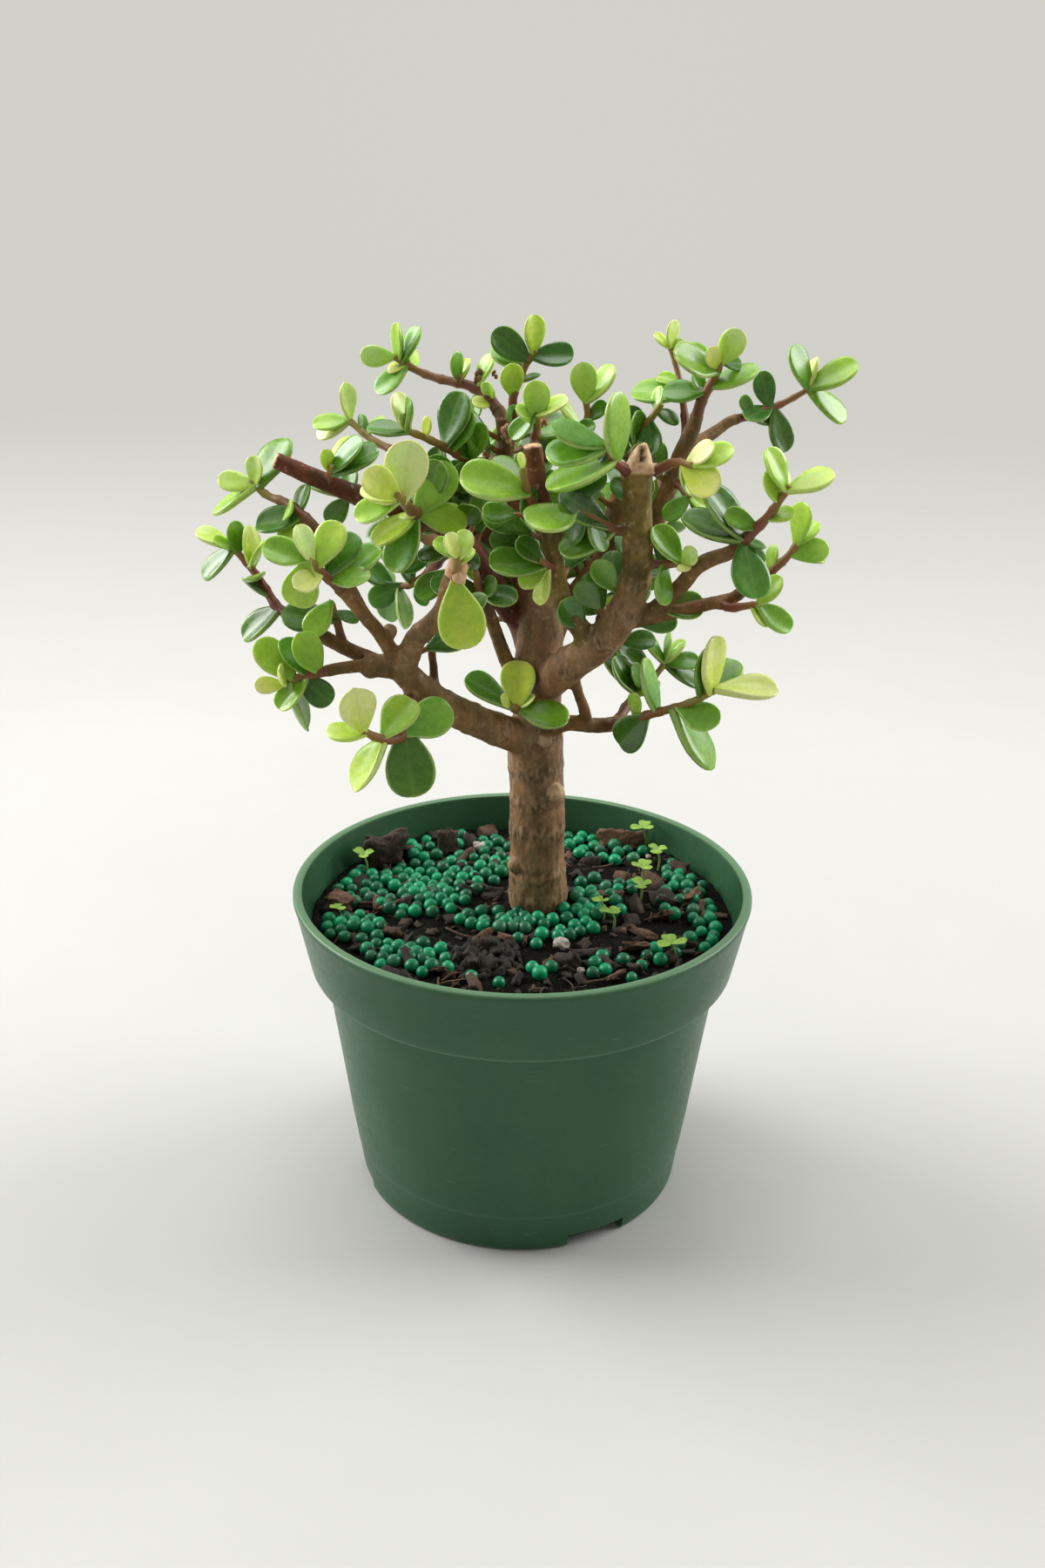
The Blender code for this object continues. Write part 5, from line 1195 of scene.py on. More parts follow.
def cut_wood(co, normals):
    """Masks of pale cut wood, and of a hollow and a crack that are sunk in and painted near black as shade.
    """
    cut = np.zeros(len(co))
    hollow = np.zeros(len(co))
    for name in CUT_ENDS:
        before, last = LIMBS[name][-2:]
        end = np.array(seen(*last[:3]))
        run = end - np.array(seen(*before[:3]))
        run /= np.linalg.norm(run)
        forward = (co - end) @ run
        away = np.linalg.norm(co - end, axis=1)
        near = away < last[3] * 1.5
        facing = normals @ run
        if name == "left_limb":
            hollow[near & (forward > -0.4) & (facing > 0.6)] = 1.0
        elif name == "right_limb":
            stub = (away < 8.0) & (forward > -4.4)
            cut[stub] = 1.0
            # A crack down the front of the stub, sunk in and painted near black as shade.
            crack = (np.abs(co[:, 0] - end[0] - 0.3) < 0.42) & (forward > -1.8) & (co[:, 1] < end[1])
            hollow[stub & crack] = 0.85
        else:
            cut[near & (forward > -0.5) & (facing > 0.5)] = 1.0
    for across, up, back, radius, pale in KNOTS:
        away = np.linalg.norm(co - np.array(seen(across, up, back)), axis=1)
        cut = np.maximum(cut, pale * (away < radius * 1.02))
    return cut, hollow


def bark_height(x, y, z):
    """Bark relief, drawn out along the wood, at two sizes."""
    coarse = noise.noise(Vector((x * 0.5, y * 0.5, z * 0.16)))
    fine = noise.noise(Vector((x * 1.5 + 7, y * 1.5, z * 0.45)))
    return 0.5 * coarse + 0.35 * fine


def weather(mesh, centres):
    """Roughens the bark and marks each point with girth, cut wood, ring scars, red, olive, and the painted
    shade of the hollow and crack.
    """
    co, normals = point_values(mesh)
    *_, thick, red, olive, ring = nearest_rows(co, centres).T
    girth = np.clip(thick / 7.0, 0, 1)
    cut, hollow = cut_wood(co, normals)
    rough = np.array([bark_height(*point) for point in co])
    push = rough * (0.1 + 0.3 * girth) * (1 - 0.6 * cut) - 1.1 * hollow
    co += normals * push[:, None]
    mesh.vertices.foreach_set("co", (co * MM).ravel())
    mesh.update()
    tint = mesh.attributes.new("tint", "FLOAT_COLOR", "POINT")
    tint.data.foreach_set("color", np.column_stack([girth, cut, ring, np.ones(len(co))]).ravel())
    place = mesh.attributes.new("place", "FLOAT_VECTOR", "POINT")
    place.data.foreach_set("vector", np.column_stack([red, olive, hollow]).ravel())


# The pot


def pot_profile():
    """Radius and height along the pot, up the outside, over the rim and down the inside."""
    base, under, lip = BASE_RADIUS, UNDER_LIP_RADIUS, LIP_BOTTOM_RADIUS
    rim, inside = RIM_RADIUS, RIM_INSIDE_RADIUS
    inner_foot = base + 0.01 - POT_WALL
    foot = [(0.0, 0.0), (30.0, 0.0), (base - 1.4, 0.0), (base - 0.6, 0.12), (base - 0.15, 0.5),
            (base + 0.1, 1.1)]
    side = [(base + 0.5, 4.0), (base + 1.45, FOOT_LEDGE - 0.4), (base + 1.62, FOOT_LEDGE), (base + 3.0, 20.0),
            (base + 5.7, 40.0), (under - 0.15, LIP_BOTTOM - 1.6), (under + 0.1, LIP_BOTTOM - 0.4)]
    step = [(under + 0.5, LIP_BOTTOM + 0.05), (lip - 0.6, LIP_BOTTOM + 0.05), (lip - 0.15, LIP_BOTTOM + 0.2),
            (lip + 0.08, LIP_BOTTOM + 0.7), (lip + 1.9, 71.0)]
    edge = [(rim - 0.3, POT_HEIGHT - 1.9), (rim, POT_HEIGHT - 1.2), (rim - 0.02, POT_HEIGHT - 0.6),
            (rim - 0.25, POT_HEIGHT - 0.2), (rim - 0.65, POT_HEIGHT), (inside + 0.6, POT_HEIGHT),
            (inside + 0.15, POT_HEIGHT - 0.25), (inside, POT_HEIGHT - 0.8)]
    hollow = [(lip - 0.3, 72.0), (lip - 1.9, LIP_BOTTOM + 1.5), (under - POT_WALL, LIP_BOTTOM - 0.9),
              (inner_foot + 4.0, 30.0), (inner_foot, FLOOR_THICKNESS), (0.0, FLOOR_THICKNESS)]
    return foot + side + step + edge + hollow


def slot_cutter(azimuth, material):
    """A block that cuts one low slot through the foot of the pot, with softly broken top corners."""
    corners = []
    steps = 10
    for height in (-2.0, SLOT_HEIGHT - 0.3, SLOT_HEIGHT):
        inset = 0.35 if height == SLOT_HEIGHT else 0.0
        reach = SLOT_HALF_ANGLE - inset
        for i in range(steps + 1):
            corners.append(polar(BASE_RADIUS + 5.0, azimuth - reach + 2 * reach * i / steps, height))
        for i in range(steps + 1):
            corners.append(polar(BASE_RADIUS - 3.6, azimuth + reach - 2 * reach * i / steps, height))
    ring = 2 * (steps + 1)
    faces = [tuple(reversed(range(ring))), tuple(range(2 * ring, 3 * ring))]
    for layer in (0, ring):
        faces += between_rings(layer, layer + ring, ring)
    return mesh_piece("slot_cutter", corners, faces, material)


def pot_piece(material):
    sides = 240
    profile = pot_profile()
    points = [Vector((0, 0, profile[0][1]))]
    for radius, height in profile[1:-1]:
        for i in range(sides):
            # A moulded rim is never quite round.
            angle = 2 * math.pi * i / sides
            out = 1 + 0.0016 * math.sin(2 * angle + 0.7) * height / POT_HEIGHT
            points.append(polar(radius * out, 360 * i / sides, height))
    points.append(Vector((0, 0, profile[-1][1])))
    last = len(points) - 1
    faces = []
    for i in range(sides):
        j = (i + 1) % sides
        faces.append((0, 1 + j, 1 + i))
        faces.append((last, last - sides + i, last - sides + j))
        for k in range(len(profile) - 3):
            a = 1 + k * sides
            b = a + sides
            faces.append((a + i, a + j, b + j, b + i))
    pot = mesh_piece("nursery_pot", points, faces, material)
    cutters = bpy.data.collections.new("slot_cutters")
    bpy.context.scene.collection.children.link(cutters)
    for azimuth in SLOT_AZIMUTHS:
        cutter = slot_cutter(azimuth, material)
        bpy.context.scene.collection.objects.unlink(cutter)
        cutters.objects.link(cutter)
    cut = pot.modifiers.new("slots", "BOOLEAN")
    cut.operation = "DIFFERENCE"
    cut.operand_type = "COLLECTION"
    cut.collection = cutters
    cut.solver = "EXACT"
    applied(pot)
    for cutter in list(cutters.objects):
        bpy.data.objects.remove(cutter)
    bpy.data.collections.remove(cutters)
    pot.data.set_sharp_from_angle(angle=math.radians(38))
    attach(pot, "root")
    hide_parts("pot")


# The potting mix and what lies on it


def crumb_height(x, y):
    """The loose surface of the mix: the plain height with lumps and crumbs on it."""
    lump = noise.noise(Vector((x * 0.14 + 3, y * 0.14, 1.7)))
    crumb = noise.noise(Vector((x * 0.55, y * 0.55 + 9, 4.1)))
    grit = noise.noise(Vector((x * 1.6, y * 1.6, 8.3)))
    return soil_height(x, y) - 0.25 + 0.9 * lump + 0.55 * crumb + 0.3 * grit


def soil_piece(material):
    edge = LIP_BOTTOM_RADIUS - 1.9 - 0.15 + 0.18 * (SOIL_LEVEL - LIP_BOTTOM - 1.5)
    rings = 74
    sides = 260
    points = [Vector((0, 0, crumb_height(0, 0)))]
    for k in range(1, rings + 1):
        radius = edge * k / rings
        for i in range(sides):
            p = polar(radius, 360 * i / sides, 0)
            points.append(Vector((p.x, p.y, crumb_height(p.x, p.y))))
    wall = [(LIP_BOTTOM_RADIUS - 2.3, LIP_BOTTOM + 2.0),
            (UNDER_LIP_RADIUS - POT_WALL - 0.2, LIP_BOTTOM - 0.8),
            (BASE_RADIUS - POT_WALL - 0.2, FLOOR_THICKNESS + 0.25)]
    for radius, height in wall:
        points += [polar(radius, 360 * i / sides, height) for i in range(sides)]
    faces = [(1 + (i + 1) % sides, 1 + i, 0) for i in range(sides)]
    for k in range(rings + len(wall) - 1):
        a = 1 + k * sides
        for i in range(sides):
            j = (i + 1) % sides
            faces.append((a + j, a + sides + j, a + sides + i, a + i))
    faces.append(tuple(len(points) - 1 - i for i in range(sides)))
    soil = mesh_piece("potting_mix_surface", points, faces, material)
    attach(soil, "root")
    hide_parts("potting_mix")


def resting(x, y, radius):
    """The height of a ball's middle where it lies a little pressed into the crumbs."""
    step = radius * 0.5
    around = [crumb_height(x + step * math.cos(a), y + step * math.sin(a)) for a in (0, 2.1, 4.2)]
    return max(around) * 0.5 + sum(around) / 6 + radius * 0.72


# Each patch of prills: its middle, its two half widths, its turn in degrees, and how many lie in it.
PRILL_PATCHES = (
    (-26.0, 12.0, 15.0, 15.0, 0.0, 150), (-14.0, 22.0, 9.0, 9.0, 0.0, 26), (-45.0, 14.0, 7.0, 12.0, 0.0, 26),
    (-42.0, -9.0, 9.0, 7.0, -30.0, 30), (-27.0, -25.0, 12.0, 7.0, -25.0, 46),
    (-4.0, -5.0, 12.0, 6.0, 0.0, 34),
    (4.0, -13.0, 8.0, 5.0, 0.0, 14), (17.0, 1.0, 9.0, 8.0, 20.0, 34), (13.0, -8.0, 6.0, 4.0, 0.0, 10),
    (24.0, 34.0, 9.0, 5.0, 0.0, 18), (16.0, 42.0, 4.0, 8.0, 0.0, 14), (-26.0, 40.0, 5.0, 12.0, 0.0, 16),
    (-6.0, 32.0, 6.0, 8.0, 0.0, 14), (40.0, 5.0, 9.0, 10.0, 0.0, 12), (47.0, -4.0, 4.0, 12.0, 0.0, 9),
    (24.0, -27.0, 12.0, 7.0, 0.0, 9), (38.0, -14.0, 9.0, 9.0, 0.0, 5), (44.0, 20.0, 6.0, 14.0, 0.0, 9),
    (0.0, 40.0, 22.0, 9.0, 0.0, 12), (5.0, -31.0, 3.0, 3.0, 0.0, 1), (-10.0, -30.0, 18.0, 9.0, 0.0, 4),
    (22.0, 14.0, 7.0, 8.0, 0.0, 8),
)

# Places without prills, each a middle and two half widths.
BARE_PATCHES = ((-7.0, -24.0, 10.0, 11.0), (30.0, -10.0, 9.0, 7.0), (-38.0, 33.0, 8.0, 8.0),
                (24.0, 22.0, 8.0, 6.0))


def prill_fits(px, py, radius, kept):
    """Whether a prill here is clear of the pot wall, the trunk, the bare places and the other prills."""
    if math.hypot(px, py) > MIX_EDGE - radius:
        return False
    if off_trunk(px, py) < TRUNK_FOOT_RADIUS + radius - 0.1:
        return False
    if any(((px - x) / wide) ** 2 + ((py - y) / deep) ** 2 < 1 for x, y, wide, deep in BARE_PATCHES):
        return False
    return all((px - x) ** 2 + (py - y) ** 2 >= (0.93 * (radius + r)) ** 2 for x, y, r, _ in kept)


def prill_places():
    """Places of all loose prills: those of the four beds first, then each patch as full as it gets."""
    rng = random.Random(11)
    kept = []
    for name, bed in PRILL_BEDS.items():
        for px, py in bed_places(*bed):
            kept.append((px + rng.uniform(-0.3, 0.3), py + rng.uniform(-0.3, 0.3),
                         PRILL_RADIUS * rng.uniform(0.9, 1.04), name))
    for x, y, wide, deep, turn, count in PRILL_PATCHES:
        cos, sin = math.cos(math.radians(turn)), math.sin(math.radians(turn))
        made = 0
        for _ in range(count * 40):
            if made == count:
                break
            a = rng.uniform(0, 2 * math.pi)
            r = math.sqrt(rng.random())
            across, along_patch = r * math.cos(a) * wide, r * math.sin(a) * deep
            px = x + across * cos - along_patch * sin
            py = y + across * sin + along_patch * cos
            radius = PRILL_RADIUS * rng.uniform(0.8, 1.04)
            if prill_fits(px, py, radius, kept):
                kept.append((px, py, radius, ""))
                made += 1
    return kept


def prill_pieces(material):
    """One piece of loose prills for each bed. A prill outside the beds goes with the nearest one."""
    rng = random.Random(21)
    beds = {name: Sheaf() for name in PRILL_BEDS}
    for px, py, radius, name in prill_places():
        if not name:
            name = min(PRILL_BEDS, key=lambda n: math.hypot(px - PRILL_BEDS[n][0], py - PRILL_BEDS[n][1]))
        centre = Vector((px, py, resting(px, py, radius)))
        body, faces = ball(centre, radius, 3, rng, 0.07, rng.uniform(0.92, 1.0))
        dust = 1.0 if rng.random() < 0.06 else rng.uniform(0.0, 0.25)
        beds[name].add(body, faces, (rng.random(), dust, rng.random()))
    for name, bed in beds.items():
        piece = bed.piece(name + "_loose", material)
        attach(piece, "root")
        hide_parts(name)


def flake_body(centre, size, turns, rng, cuts=3):
    """A torn flake of bark: a block of this length, depth and height, thinned to its edges and bent by noise.

    turns are degrees about Z, X and Y."""
    long, deep, tall = size
    spin = Matrix.Identity(3)
    for degrees, axis in zip(turns, "ZXY"):
        spin = spin @ Matrix.Rotation(math.radians(degrees), 3, axis)
    builder = bmesh.new()
    bmesh.ops.create_cube(builder, size=1.0)
    bmesh.ops.subdivide_edges(builder, edges=builder.edges[:], cuts=cuts, use_grid_fill=True)
    shift = random_shift(rng, 40)
    points = []
    for vertex in builder.verts:
        p = vertex.co.copy()
        far = max(abs(p.x), abs(p.z))
        p.y *= 1 - 0.75 * max(0.0, far - 0.25)
        edge = 1 + 0.45 * noise.noise(p * 2.2 + shift) + 0.2 * noise.noise(p * 5.5 - shift)
        flat = Vector((p.x * long * edge, p.y * deep, p.z * tall * edge))
        bend = Vector((noise.noise(flat * 0.5 + shift), noise.noise(flat * 0.9 - shift) * 0.6,
                       noise.noise(flat * 0.5 - shift)))
        flat += bend * (0.16 * max(long, tall) ** 0.7)
        points.append(centre + spin @ flat)
    faces = [tuple(v.index for v in f.verts) for f in builder.faces]
    builder.free()
    return points, faces


CHIP_WARMTH = {"bark_back_left": 0.12, "bark_left": 0.9, "bark_grey": 0.25, "bark_back_right": 1.0}


def chip_pieces(material):
    """The four large bark chips."""
    for index, (name, (x, y, long, deep, tall, turn, lean)) in enumerate(CHIPS.items()):
        rng = random.Random(61 + index)
        centre = Vector((x, y, soil_height(x, y) + tall * 0.46))
        body, faces = flake_body(centre, (long, deep, tall), (turn, lean, rng.uniform(-8, 8)), rng, 11)
        sheaf = Sheaf()
        sheaf.add(body, faces, (CHIP_WARMTH[name], rng.random(), rng.random()))
        piece = sheaf.piece(name + "_flake", material)
        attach(piece, "root")
        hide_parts(name)


# The paler curled flakes: place, length, turn in degrees and warmth.
CURLED_FLAKES = (
    (37.0, -2.0, 7.0, 20, 0.8), (43.0, 8.0, 8.0, 60, 0.95), (45.0, 1.0, 6.0, 100, 0.7),
    (27.5, -20.0, 6.5, 10, 1.0), (30.0, -22.5, 5.0, 70, 1.0), (34.0, 17.0, 6.0, 150, 0.6),
    (-34.0, 2.0, 5.0, 30, 0.9), (-20.0, -32.0, 5.0, 0, 0.5), (-30.0, 35.0, 7.0, 40, 0.3),
    (8.0, 44.0, 7.0, 80, 0.4), (41.0, 24.0, 7.0, 120, 0.3), (22.0, -33.0, 4.5, 50, 0.7),
)

# Pale mineral grains: place and radius.
PALE_GRAINS = (
    (9.5, -17.5, 1.9), (16.5, 0.5, 1.4), (-27.0, -16.0, 1.1), (10.0, 2.0, 0.9), (14.0, -28.5, 0.9),
    (-11.0, 36.0, 1.7), (-12.5, 38.0, 1.3), (3.0, -30.0, 0.7), (34.0, 33.0, 0.8), (-39.0, 20.0, 1.0),
)

LUMP = (-9.5, -24.0)
LUMP_REACH = (9.0, 8.0)
LUMP_RISE = 3.4


def above_mix(x, y, rise):
    return Vector((x, y, crumb_height(x, y) + rise))


def scattered_crumbs(crumbs, rng):
    """Small bark crumbs over the whole surface, most of them dark."""
    for _ in range(420):
        a = rng.uniform(0, 2 * math.pi)
        r = MIX_EDGE * math.sqrt(rng.random())
        x, y = r * math.cos(a), r * math.sin(a)
        if off_trunk(x, y) < TRUNK_FOOT_RADIUS + 0.8:
            continue
        long = rng.uniform(1.0, 3.4) if rng.random() < 0.85 else rng.uniform(3.5, 6.0)
        size = (long, long * rng.uniform(0.2, 0.5), long * rng.uniform(0.4, 0.9))
        turns = (rng.uniform(0, 360), rng.uniform(20, 90), rng.uniform(-40, 40))
        body, faces = flake_body(above_mix(x, y, long * 0.12), size, turns, rng)
        crumbs.add(body, faces, (rng.random() ** 5, rng.random(), rng.random()))


def peaty_lump(crumbs, rng):
    """A dark heap of small crumbs, highest in its middle."""
    for _ in range(70):
        a = rng.uniform(0, 2 * math.pi)
        r = math.sqrt(rng.random())
        x = LUMP[0] + LUMP_REACH[0] * r * math.cos(a)
        y = LUMP[1] + LUMP_REACH[1] * r * math.sin(a)
        long = rng.uniform(1.6, 4.2)
        centre = above_mix(x, y, LUMP_RISE * (1 - r * r) * rng.uniform(0.3, 1.0))
        size = (long, long * rng.uniform(0.4, 0.8), long * rng.uniform(0.5, 1.0))
        turns = (rng.uniform(0, 360), rng.uniform(0, 90), rng.uniform(-60, 60))
        body, faces = flake_body(centre, size, turns, rng)
        crumbs.add(body, faces, (0.0, rng.random(), rng.random()))


def curled_flakes(crumbs, rng):
    for x, y, long, turn, warm in CURLED_FLAKES:
        turns = (turn, rng.uniform(25, 60), rng.uniform(-25, 25))
        body, faces = flake_body(above_mix(x, y, 1.3), (long, long * 0.22, long * 0.5), turns, rng, 7)
        crumbs.add(body, faces, (warm, rng.random(), rng.random()))


def root_fibres(rng):
    """Thin fibres that wander over the surface and stop at the trunk and the wall."""
    strands = Sheaf()
    for _ in range(90):
        a = rng.uniform(0, 2 * math.pi)
        r = 48.0 * math.sqrt(rng.random())
        x, y = r * math.cos(a), r * math.sin(a)
        heading = rng.uniform(0, 2 * math.pi)
        bend = rng.uniform(-0.35, 0.35)
        reach = rng.uniform(4, 11)
        knots = []
        for k in range(5):
            if math.hypot(x, y) > MIX_EDGE or off_trunk(x, y) < TRUNK_FOOT_RADIUS + 0.9:
                break
            knots.append((x, y, crumb_height(x, y) + 0.35 + 0.6 * math.sin(k * 0.8)))
            x += math.cos(heading) * reach / 4
            y += math.sin(heading) * reach / 4
            heading += bend
        if len(knots) < 3:
            continue
        fine = [Vector(p) for p in curve_through(knots, 1.0)]
        body, faces = tube_mesh(fine, [rng.uniform(0.14, 0.32)] * len(fine), 5)
        strands.add(body, faces, (rng.uniform(0.1, 0.8), rng.random(), rng.random()))
    return strands


def pale_grains(rng):
    grains = Sheaf()
    for x, y, radius in PALE_GRAINS:
        body, faces = ball(above_mix(x, y, radius * 0.6), radius, 3, rng, 0.5, 0.8)
        grains.add(body, faces, (rng.random(), 0, 0))
    return grains


def litter_pieces(flake_material, pale_material):
    """The small loose matter on the mix, drawn in one order from one seed."""
    rng = random.Random(31)
    crumbs = Sheaf()
    scattered_crumbs(crumbs, rng)
    peaty_lump(crumbs, rng)
    curled_flakes(crumbs, rng)
    piece = crumbs.piece("bark_crumbs", flake_material)
    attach(piece, "root")
    piece = root_fibres(rng).piece("root_fibres", flake_material)
    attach(piece, "root")
    piece = pale_grains(rng).piece("pale_grains", pale_material)
    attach(piece, "root")


def leaflet(root, direction, length, rng):
    """A thin round leaflet, notched at its tip and folded a little along its middle."""
    side = direction.cross(Vector((0, 0, 1))).normalized()
    up = side.cross(direction).normalized()
    fold = rng.uniform(0.1, 0.3)
    points = []
    places = []
    rings = 5
    steps = 18
    for layer in (1, -1):
        for k in range(rings + 1):
            for i in range(steps):
                a = 2 * math.pi * i / steps
                off_tip = a if a < math.pi else a - 2 * math.pi
                notch = 1 - 0.16 * math.exp(-(off_tip / 0.3) ** 2)
                r = k / rings
                u = 0.5 + 0.5 * r * math.cos(a) * notch
                v = 0.48 * r * math.sin(a) * (0.75 + 0.4 * u)
                lift = fold * abs(v) + 0.05 * math.sin(3 * u)
                thick = 0.16 * layer * (1 - r ** 4)
                flat = root + direction * (u * length) + side * (v * length)
                points.append(flat + up * (lift * length + thick))
                places.append((u, v * 2, 1.0 if layer > 0 else 0.0))
    faces = []
    layer_size = (rings + 1) * steps
    for layer in (0, 1):
        for k in range(rings):
            a = layer * layer_size + k * steps
            for i in range(steps):
                j = (i + 1) % steps
                quad = (a + i, a + steps + i, a + steps + j, a + j)
                faces.append(quad if layer else tuple(reversed(quad)))
    return points, faces, places


def seedling_pieces(material):
    """Clover seedlings, each a thin stem with three leaflets."""
    for index, (name, plants) in enumerate(SEEDLINGS.items()):
        rng = random.Random(80 + index)
        sheaf = Sheaf()
        for x, y, height, turn, size in plants:
            level = crumb_height(x, y)
            top = Vector((x + rng.uniform(-0.6, 0.6), y, level + height))
            middle = (x + 0.5, y + 0.3, level + height * 0.5, 1)
            stem = curve_through([(x, y, level - 1.5, 1), middle, (*top, 1)], 0.8)
            body, faces = tube_mesh([Vector(p[:3]) for p in stem], [0.3] * len(stem), 7)
            sheaf.add(body, faces, (0.2, rng.random(), 0), [(0.0, 0.0, 1.0)] * len(body))
            for k in range(3):
                angle = math.radians(turn + 120 * k + rng.uniform(-14, 14))
                rise = rng.uniform(0.0, 0.35)
                direction = Vector((math.cos(angle), math.sin(angle), rise)).normalized()
                body, faces, places = leaflet(top, direction, size * rng.uniform(0.85, 1.1), rng)
                sheaf.add(body, faces, (rng.uniform(0.5, 1), rng.random(), 0), places)
        piece = sheaf.piece(name + "_seedling", material)
        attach(piece, "root")
        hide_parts(name)


# Shader helpers


def new_finish(name):
    material = bpy.data.materials.new(name)
    material.use_nodes = True
    tree = material.node_tree
    return material, tree, tree.nodes["Principled BSDF"]


def fed(tree, socket, value):
    """Links a socket to value, or sets it where value is a number or a colour."""
    if isinstance(value, bpy.types.NodeSocket):
        tree.links.new(value, socket)
    elif isinstance(value, tuple):
        socket.default_value = (*value, 1.0)
    else:
        socket.default_value = value


def grey(value):
    return (value, value, value)


def ramp(tree, source, *stops):
    """A colour ramp fed by source; each stop is a place and a colour."""
    made = tree.nodes.new("ShaderNodeValToRGB")
    band = made.color_ramp
    while len(band.elements) < len(stops):
        band.elements.new(0.5)
    for element, (place, colour) in zip(band.elements, stops):
        element.position = place
        element.color = (*colour, 1.0)
    tree.links.new(source, made.inputs["Fac"])
    return made.outputs["Color"]


def rising(tree, source, start, end):
    """A mask that goes from none to full between start and end."""
    return ramp(tree, source, (start, grey(0.0)), (end, grey(1.0)))


def blended(tree, share, first, second, kind="MIX"):
    made = tree.nodes.new("ShaderNodeMix")
    made.data_type = "RGBA"
    made.blend_type = kind
    for index, value in ((0, share), (6, first), (7, second)):
        fed(tree, made.inputs[index], value)
    return made.outputs[2]


def sums(tree, kind, first, second=0.0, clamp=False):
    made = tree.nodes.new("ShaderNodeMath")
    made.operation = kind
    made.use_clamp = clamp
    fed(tree, made.inputs[0], first)
    fed(tree, made.inputs[1], second)
    return made.outputs[0]


def times(tree, first, second):
    return sums(tree, "MULTIPLY", first, second)


def plus(tree, first, second):
    return sums(tree, "ADD", first, second)


def about(tree, value, middle, strength):
    """How far value lies from middle, times strength."""
    return times(tree, sums(tree, "SUBTRACT", value, middle), strength)


def washed(tree, body, mask, strength, colour):
    """The body colour with another laid over it where the mask is."""
    return blended(tree, times(tree, mask, strength), body, colour)


def midline(tree, across, sharpness):
    """A mask along the middle line of a leaf, where across is nought."""
    return sums(tree, "SUBTRACT", 1.0, times(tree, sums(tree, "ABSOLUTE", across), sharpness), clamp=True)


def placed(tree, group, **inputs):
    """A group in a material, with its inputs set. It returns the group's outputs."""
    made = tree.nodes.new("ShaderNodeGroup")
    made.node_tree = group
    for key, value in inputs.items():
        fed(tree, made.inputs[key.replace("_", " ").capitalize()], value)
    return made.outputs


def object_place(tree, stretch_to=(1, 1, 1)):
    """Coordinates on the object, in millimetres, stretched."""
    where = tree.nodes.new("ShaderNodeTexCoord")
    scale = tree.nodes.new("ShaderNodeMapping")
    scale.inputs["Scale"].default_value = [s / MM for s in stretch_to]
    tree.links.new(where.outputs["Object"], scale.inputs["Vector"])
    return scale.outputs["Vector"]


def attribute(tree, name):
    """The three values that a mesh carries under this name."""
    made = tree.nodes.new("ShaderNodeAttribute")
    made.attribute_name = name
    parts = tree.nodes.new("ShaderNodeSeparateXYZ")
    tree.links.new(made.outputs["Vector"], parts.inputs[0])
    return [parts.outputs[axis] for axis in "XYZ"]


def surfaced(tree, shader, body, rough, specular=None):
    """Gives the shader its colour, its roughness and, where it isn't the usual one, its specular level."""
    tree.links.new(body, shader.inputs["Base Color"])
    fed(tree, shader.inputs["Roughness"], rough)
    if specular is not None:
        shader.inputs["Specular IOR Level"].default_value = specular


def grained_roughness(tree, grain, first, last):
    return ramp(tree, grain, (0.3, grey(first)), (0.7, grey(last)))


def fleshy(shader, weight, radius, scale):
    """Lets light into the surface, as far as scale times radius for red, green and blue, in metres."""
    shader.inputs["Subsurface Weight"].default_value = weight
    shader.inputs["Subsurface Radius"].default_value = radius
    shader.inputs["Subsurface Scale"].default_value = scale


def relief(tree, shader, height, strength, distance):
    bump = tree.nodes.new("ShaderNodeBump")
    bump.inputs["Strength"].default_value = strength
    bump.inputs["Distance"].default_value = distance * MM
    tree.links.new(height, bump.inputs["Height"])
    tree.links.new(bump.outputs["Normal"], shader.inputs["Normal"])


def new_group(name, takes, gives):
    """A node group that takes a place and some numbers and gives some numbers."""
    group = bpy.data.node_groups.new(name, "ShaderNodeTree")
    face = group.interface
    face.new_socket("Place", in_out="INPUT", socket_type="NodeSocketVector")
    for title in takes:
        face.new_socket(title, in_out="INPUT", socket_type="NodeSocketFloat")
    for title in gives:
        face.new_socket(title, in_out="OUTPUT", socket_type="NodeSocketFloat")
    return group, group.nodes.new("NodeGroupInput").outputs, group.nodes.new("NodeGroupOutput").inputs


def noise_in(group, taken, scale, detail):
    """A noise texture in a group, at the scale that the group takes under this name."""
    made = group.nodes.new("ShaderNodeTexNoise")
    made.inputs["Detail"].default_value = detail
    group.links.new(taken["Place"], made.inputs["Vector"])
    group.links.new(taken[scale], made.inputs["Scale"])
    return made


def grain_group():
    """Uneven grain: two sizes of noise, and both as one value."""
    takes = ("Coarse scale", "Fine scale", "Fine share")
    group, taken, given = new_group("uneven_grain", takes, ("Value", "Coarse", "Fine"))
    found = []
    for scale, detail in (("Coarse scale", 4.0), ("Fine scale", 3.0)):
        made = noise_in(group, taken, scale, detail)
        made.inputs["Roughness"].default_value = 0.6
        found.append(made.outputs["Fac"])
    mixed = group.nodes.new("ShaderNodeMix")
    mixed.data_type = "FLOAT"
    group.links.new(taken["Fine share"], mixed.inputs[0])
    group.links.new(found[0], mixed.inputs[2])
    group.links.new(found[1], mixed.inputs[3])
    for title, source in (("Value", mixed.outputs[0]), ("Coarse", found[0]), ("Fine", found[1])):
        group.links.new(source, given[title])
    return group


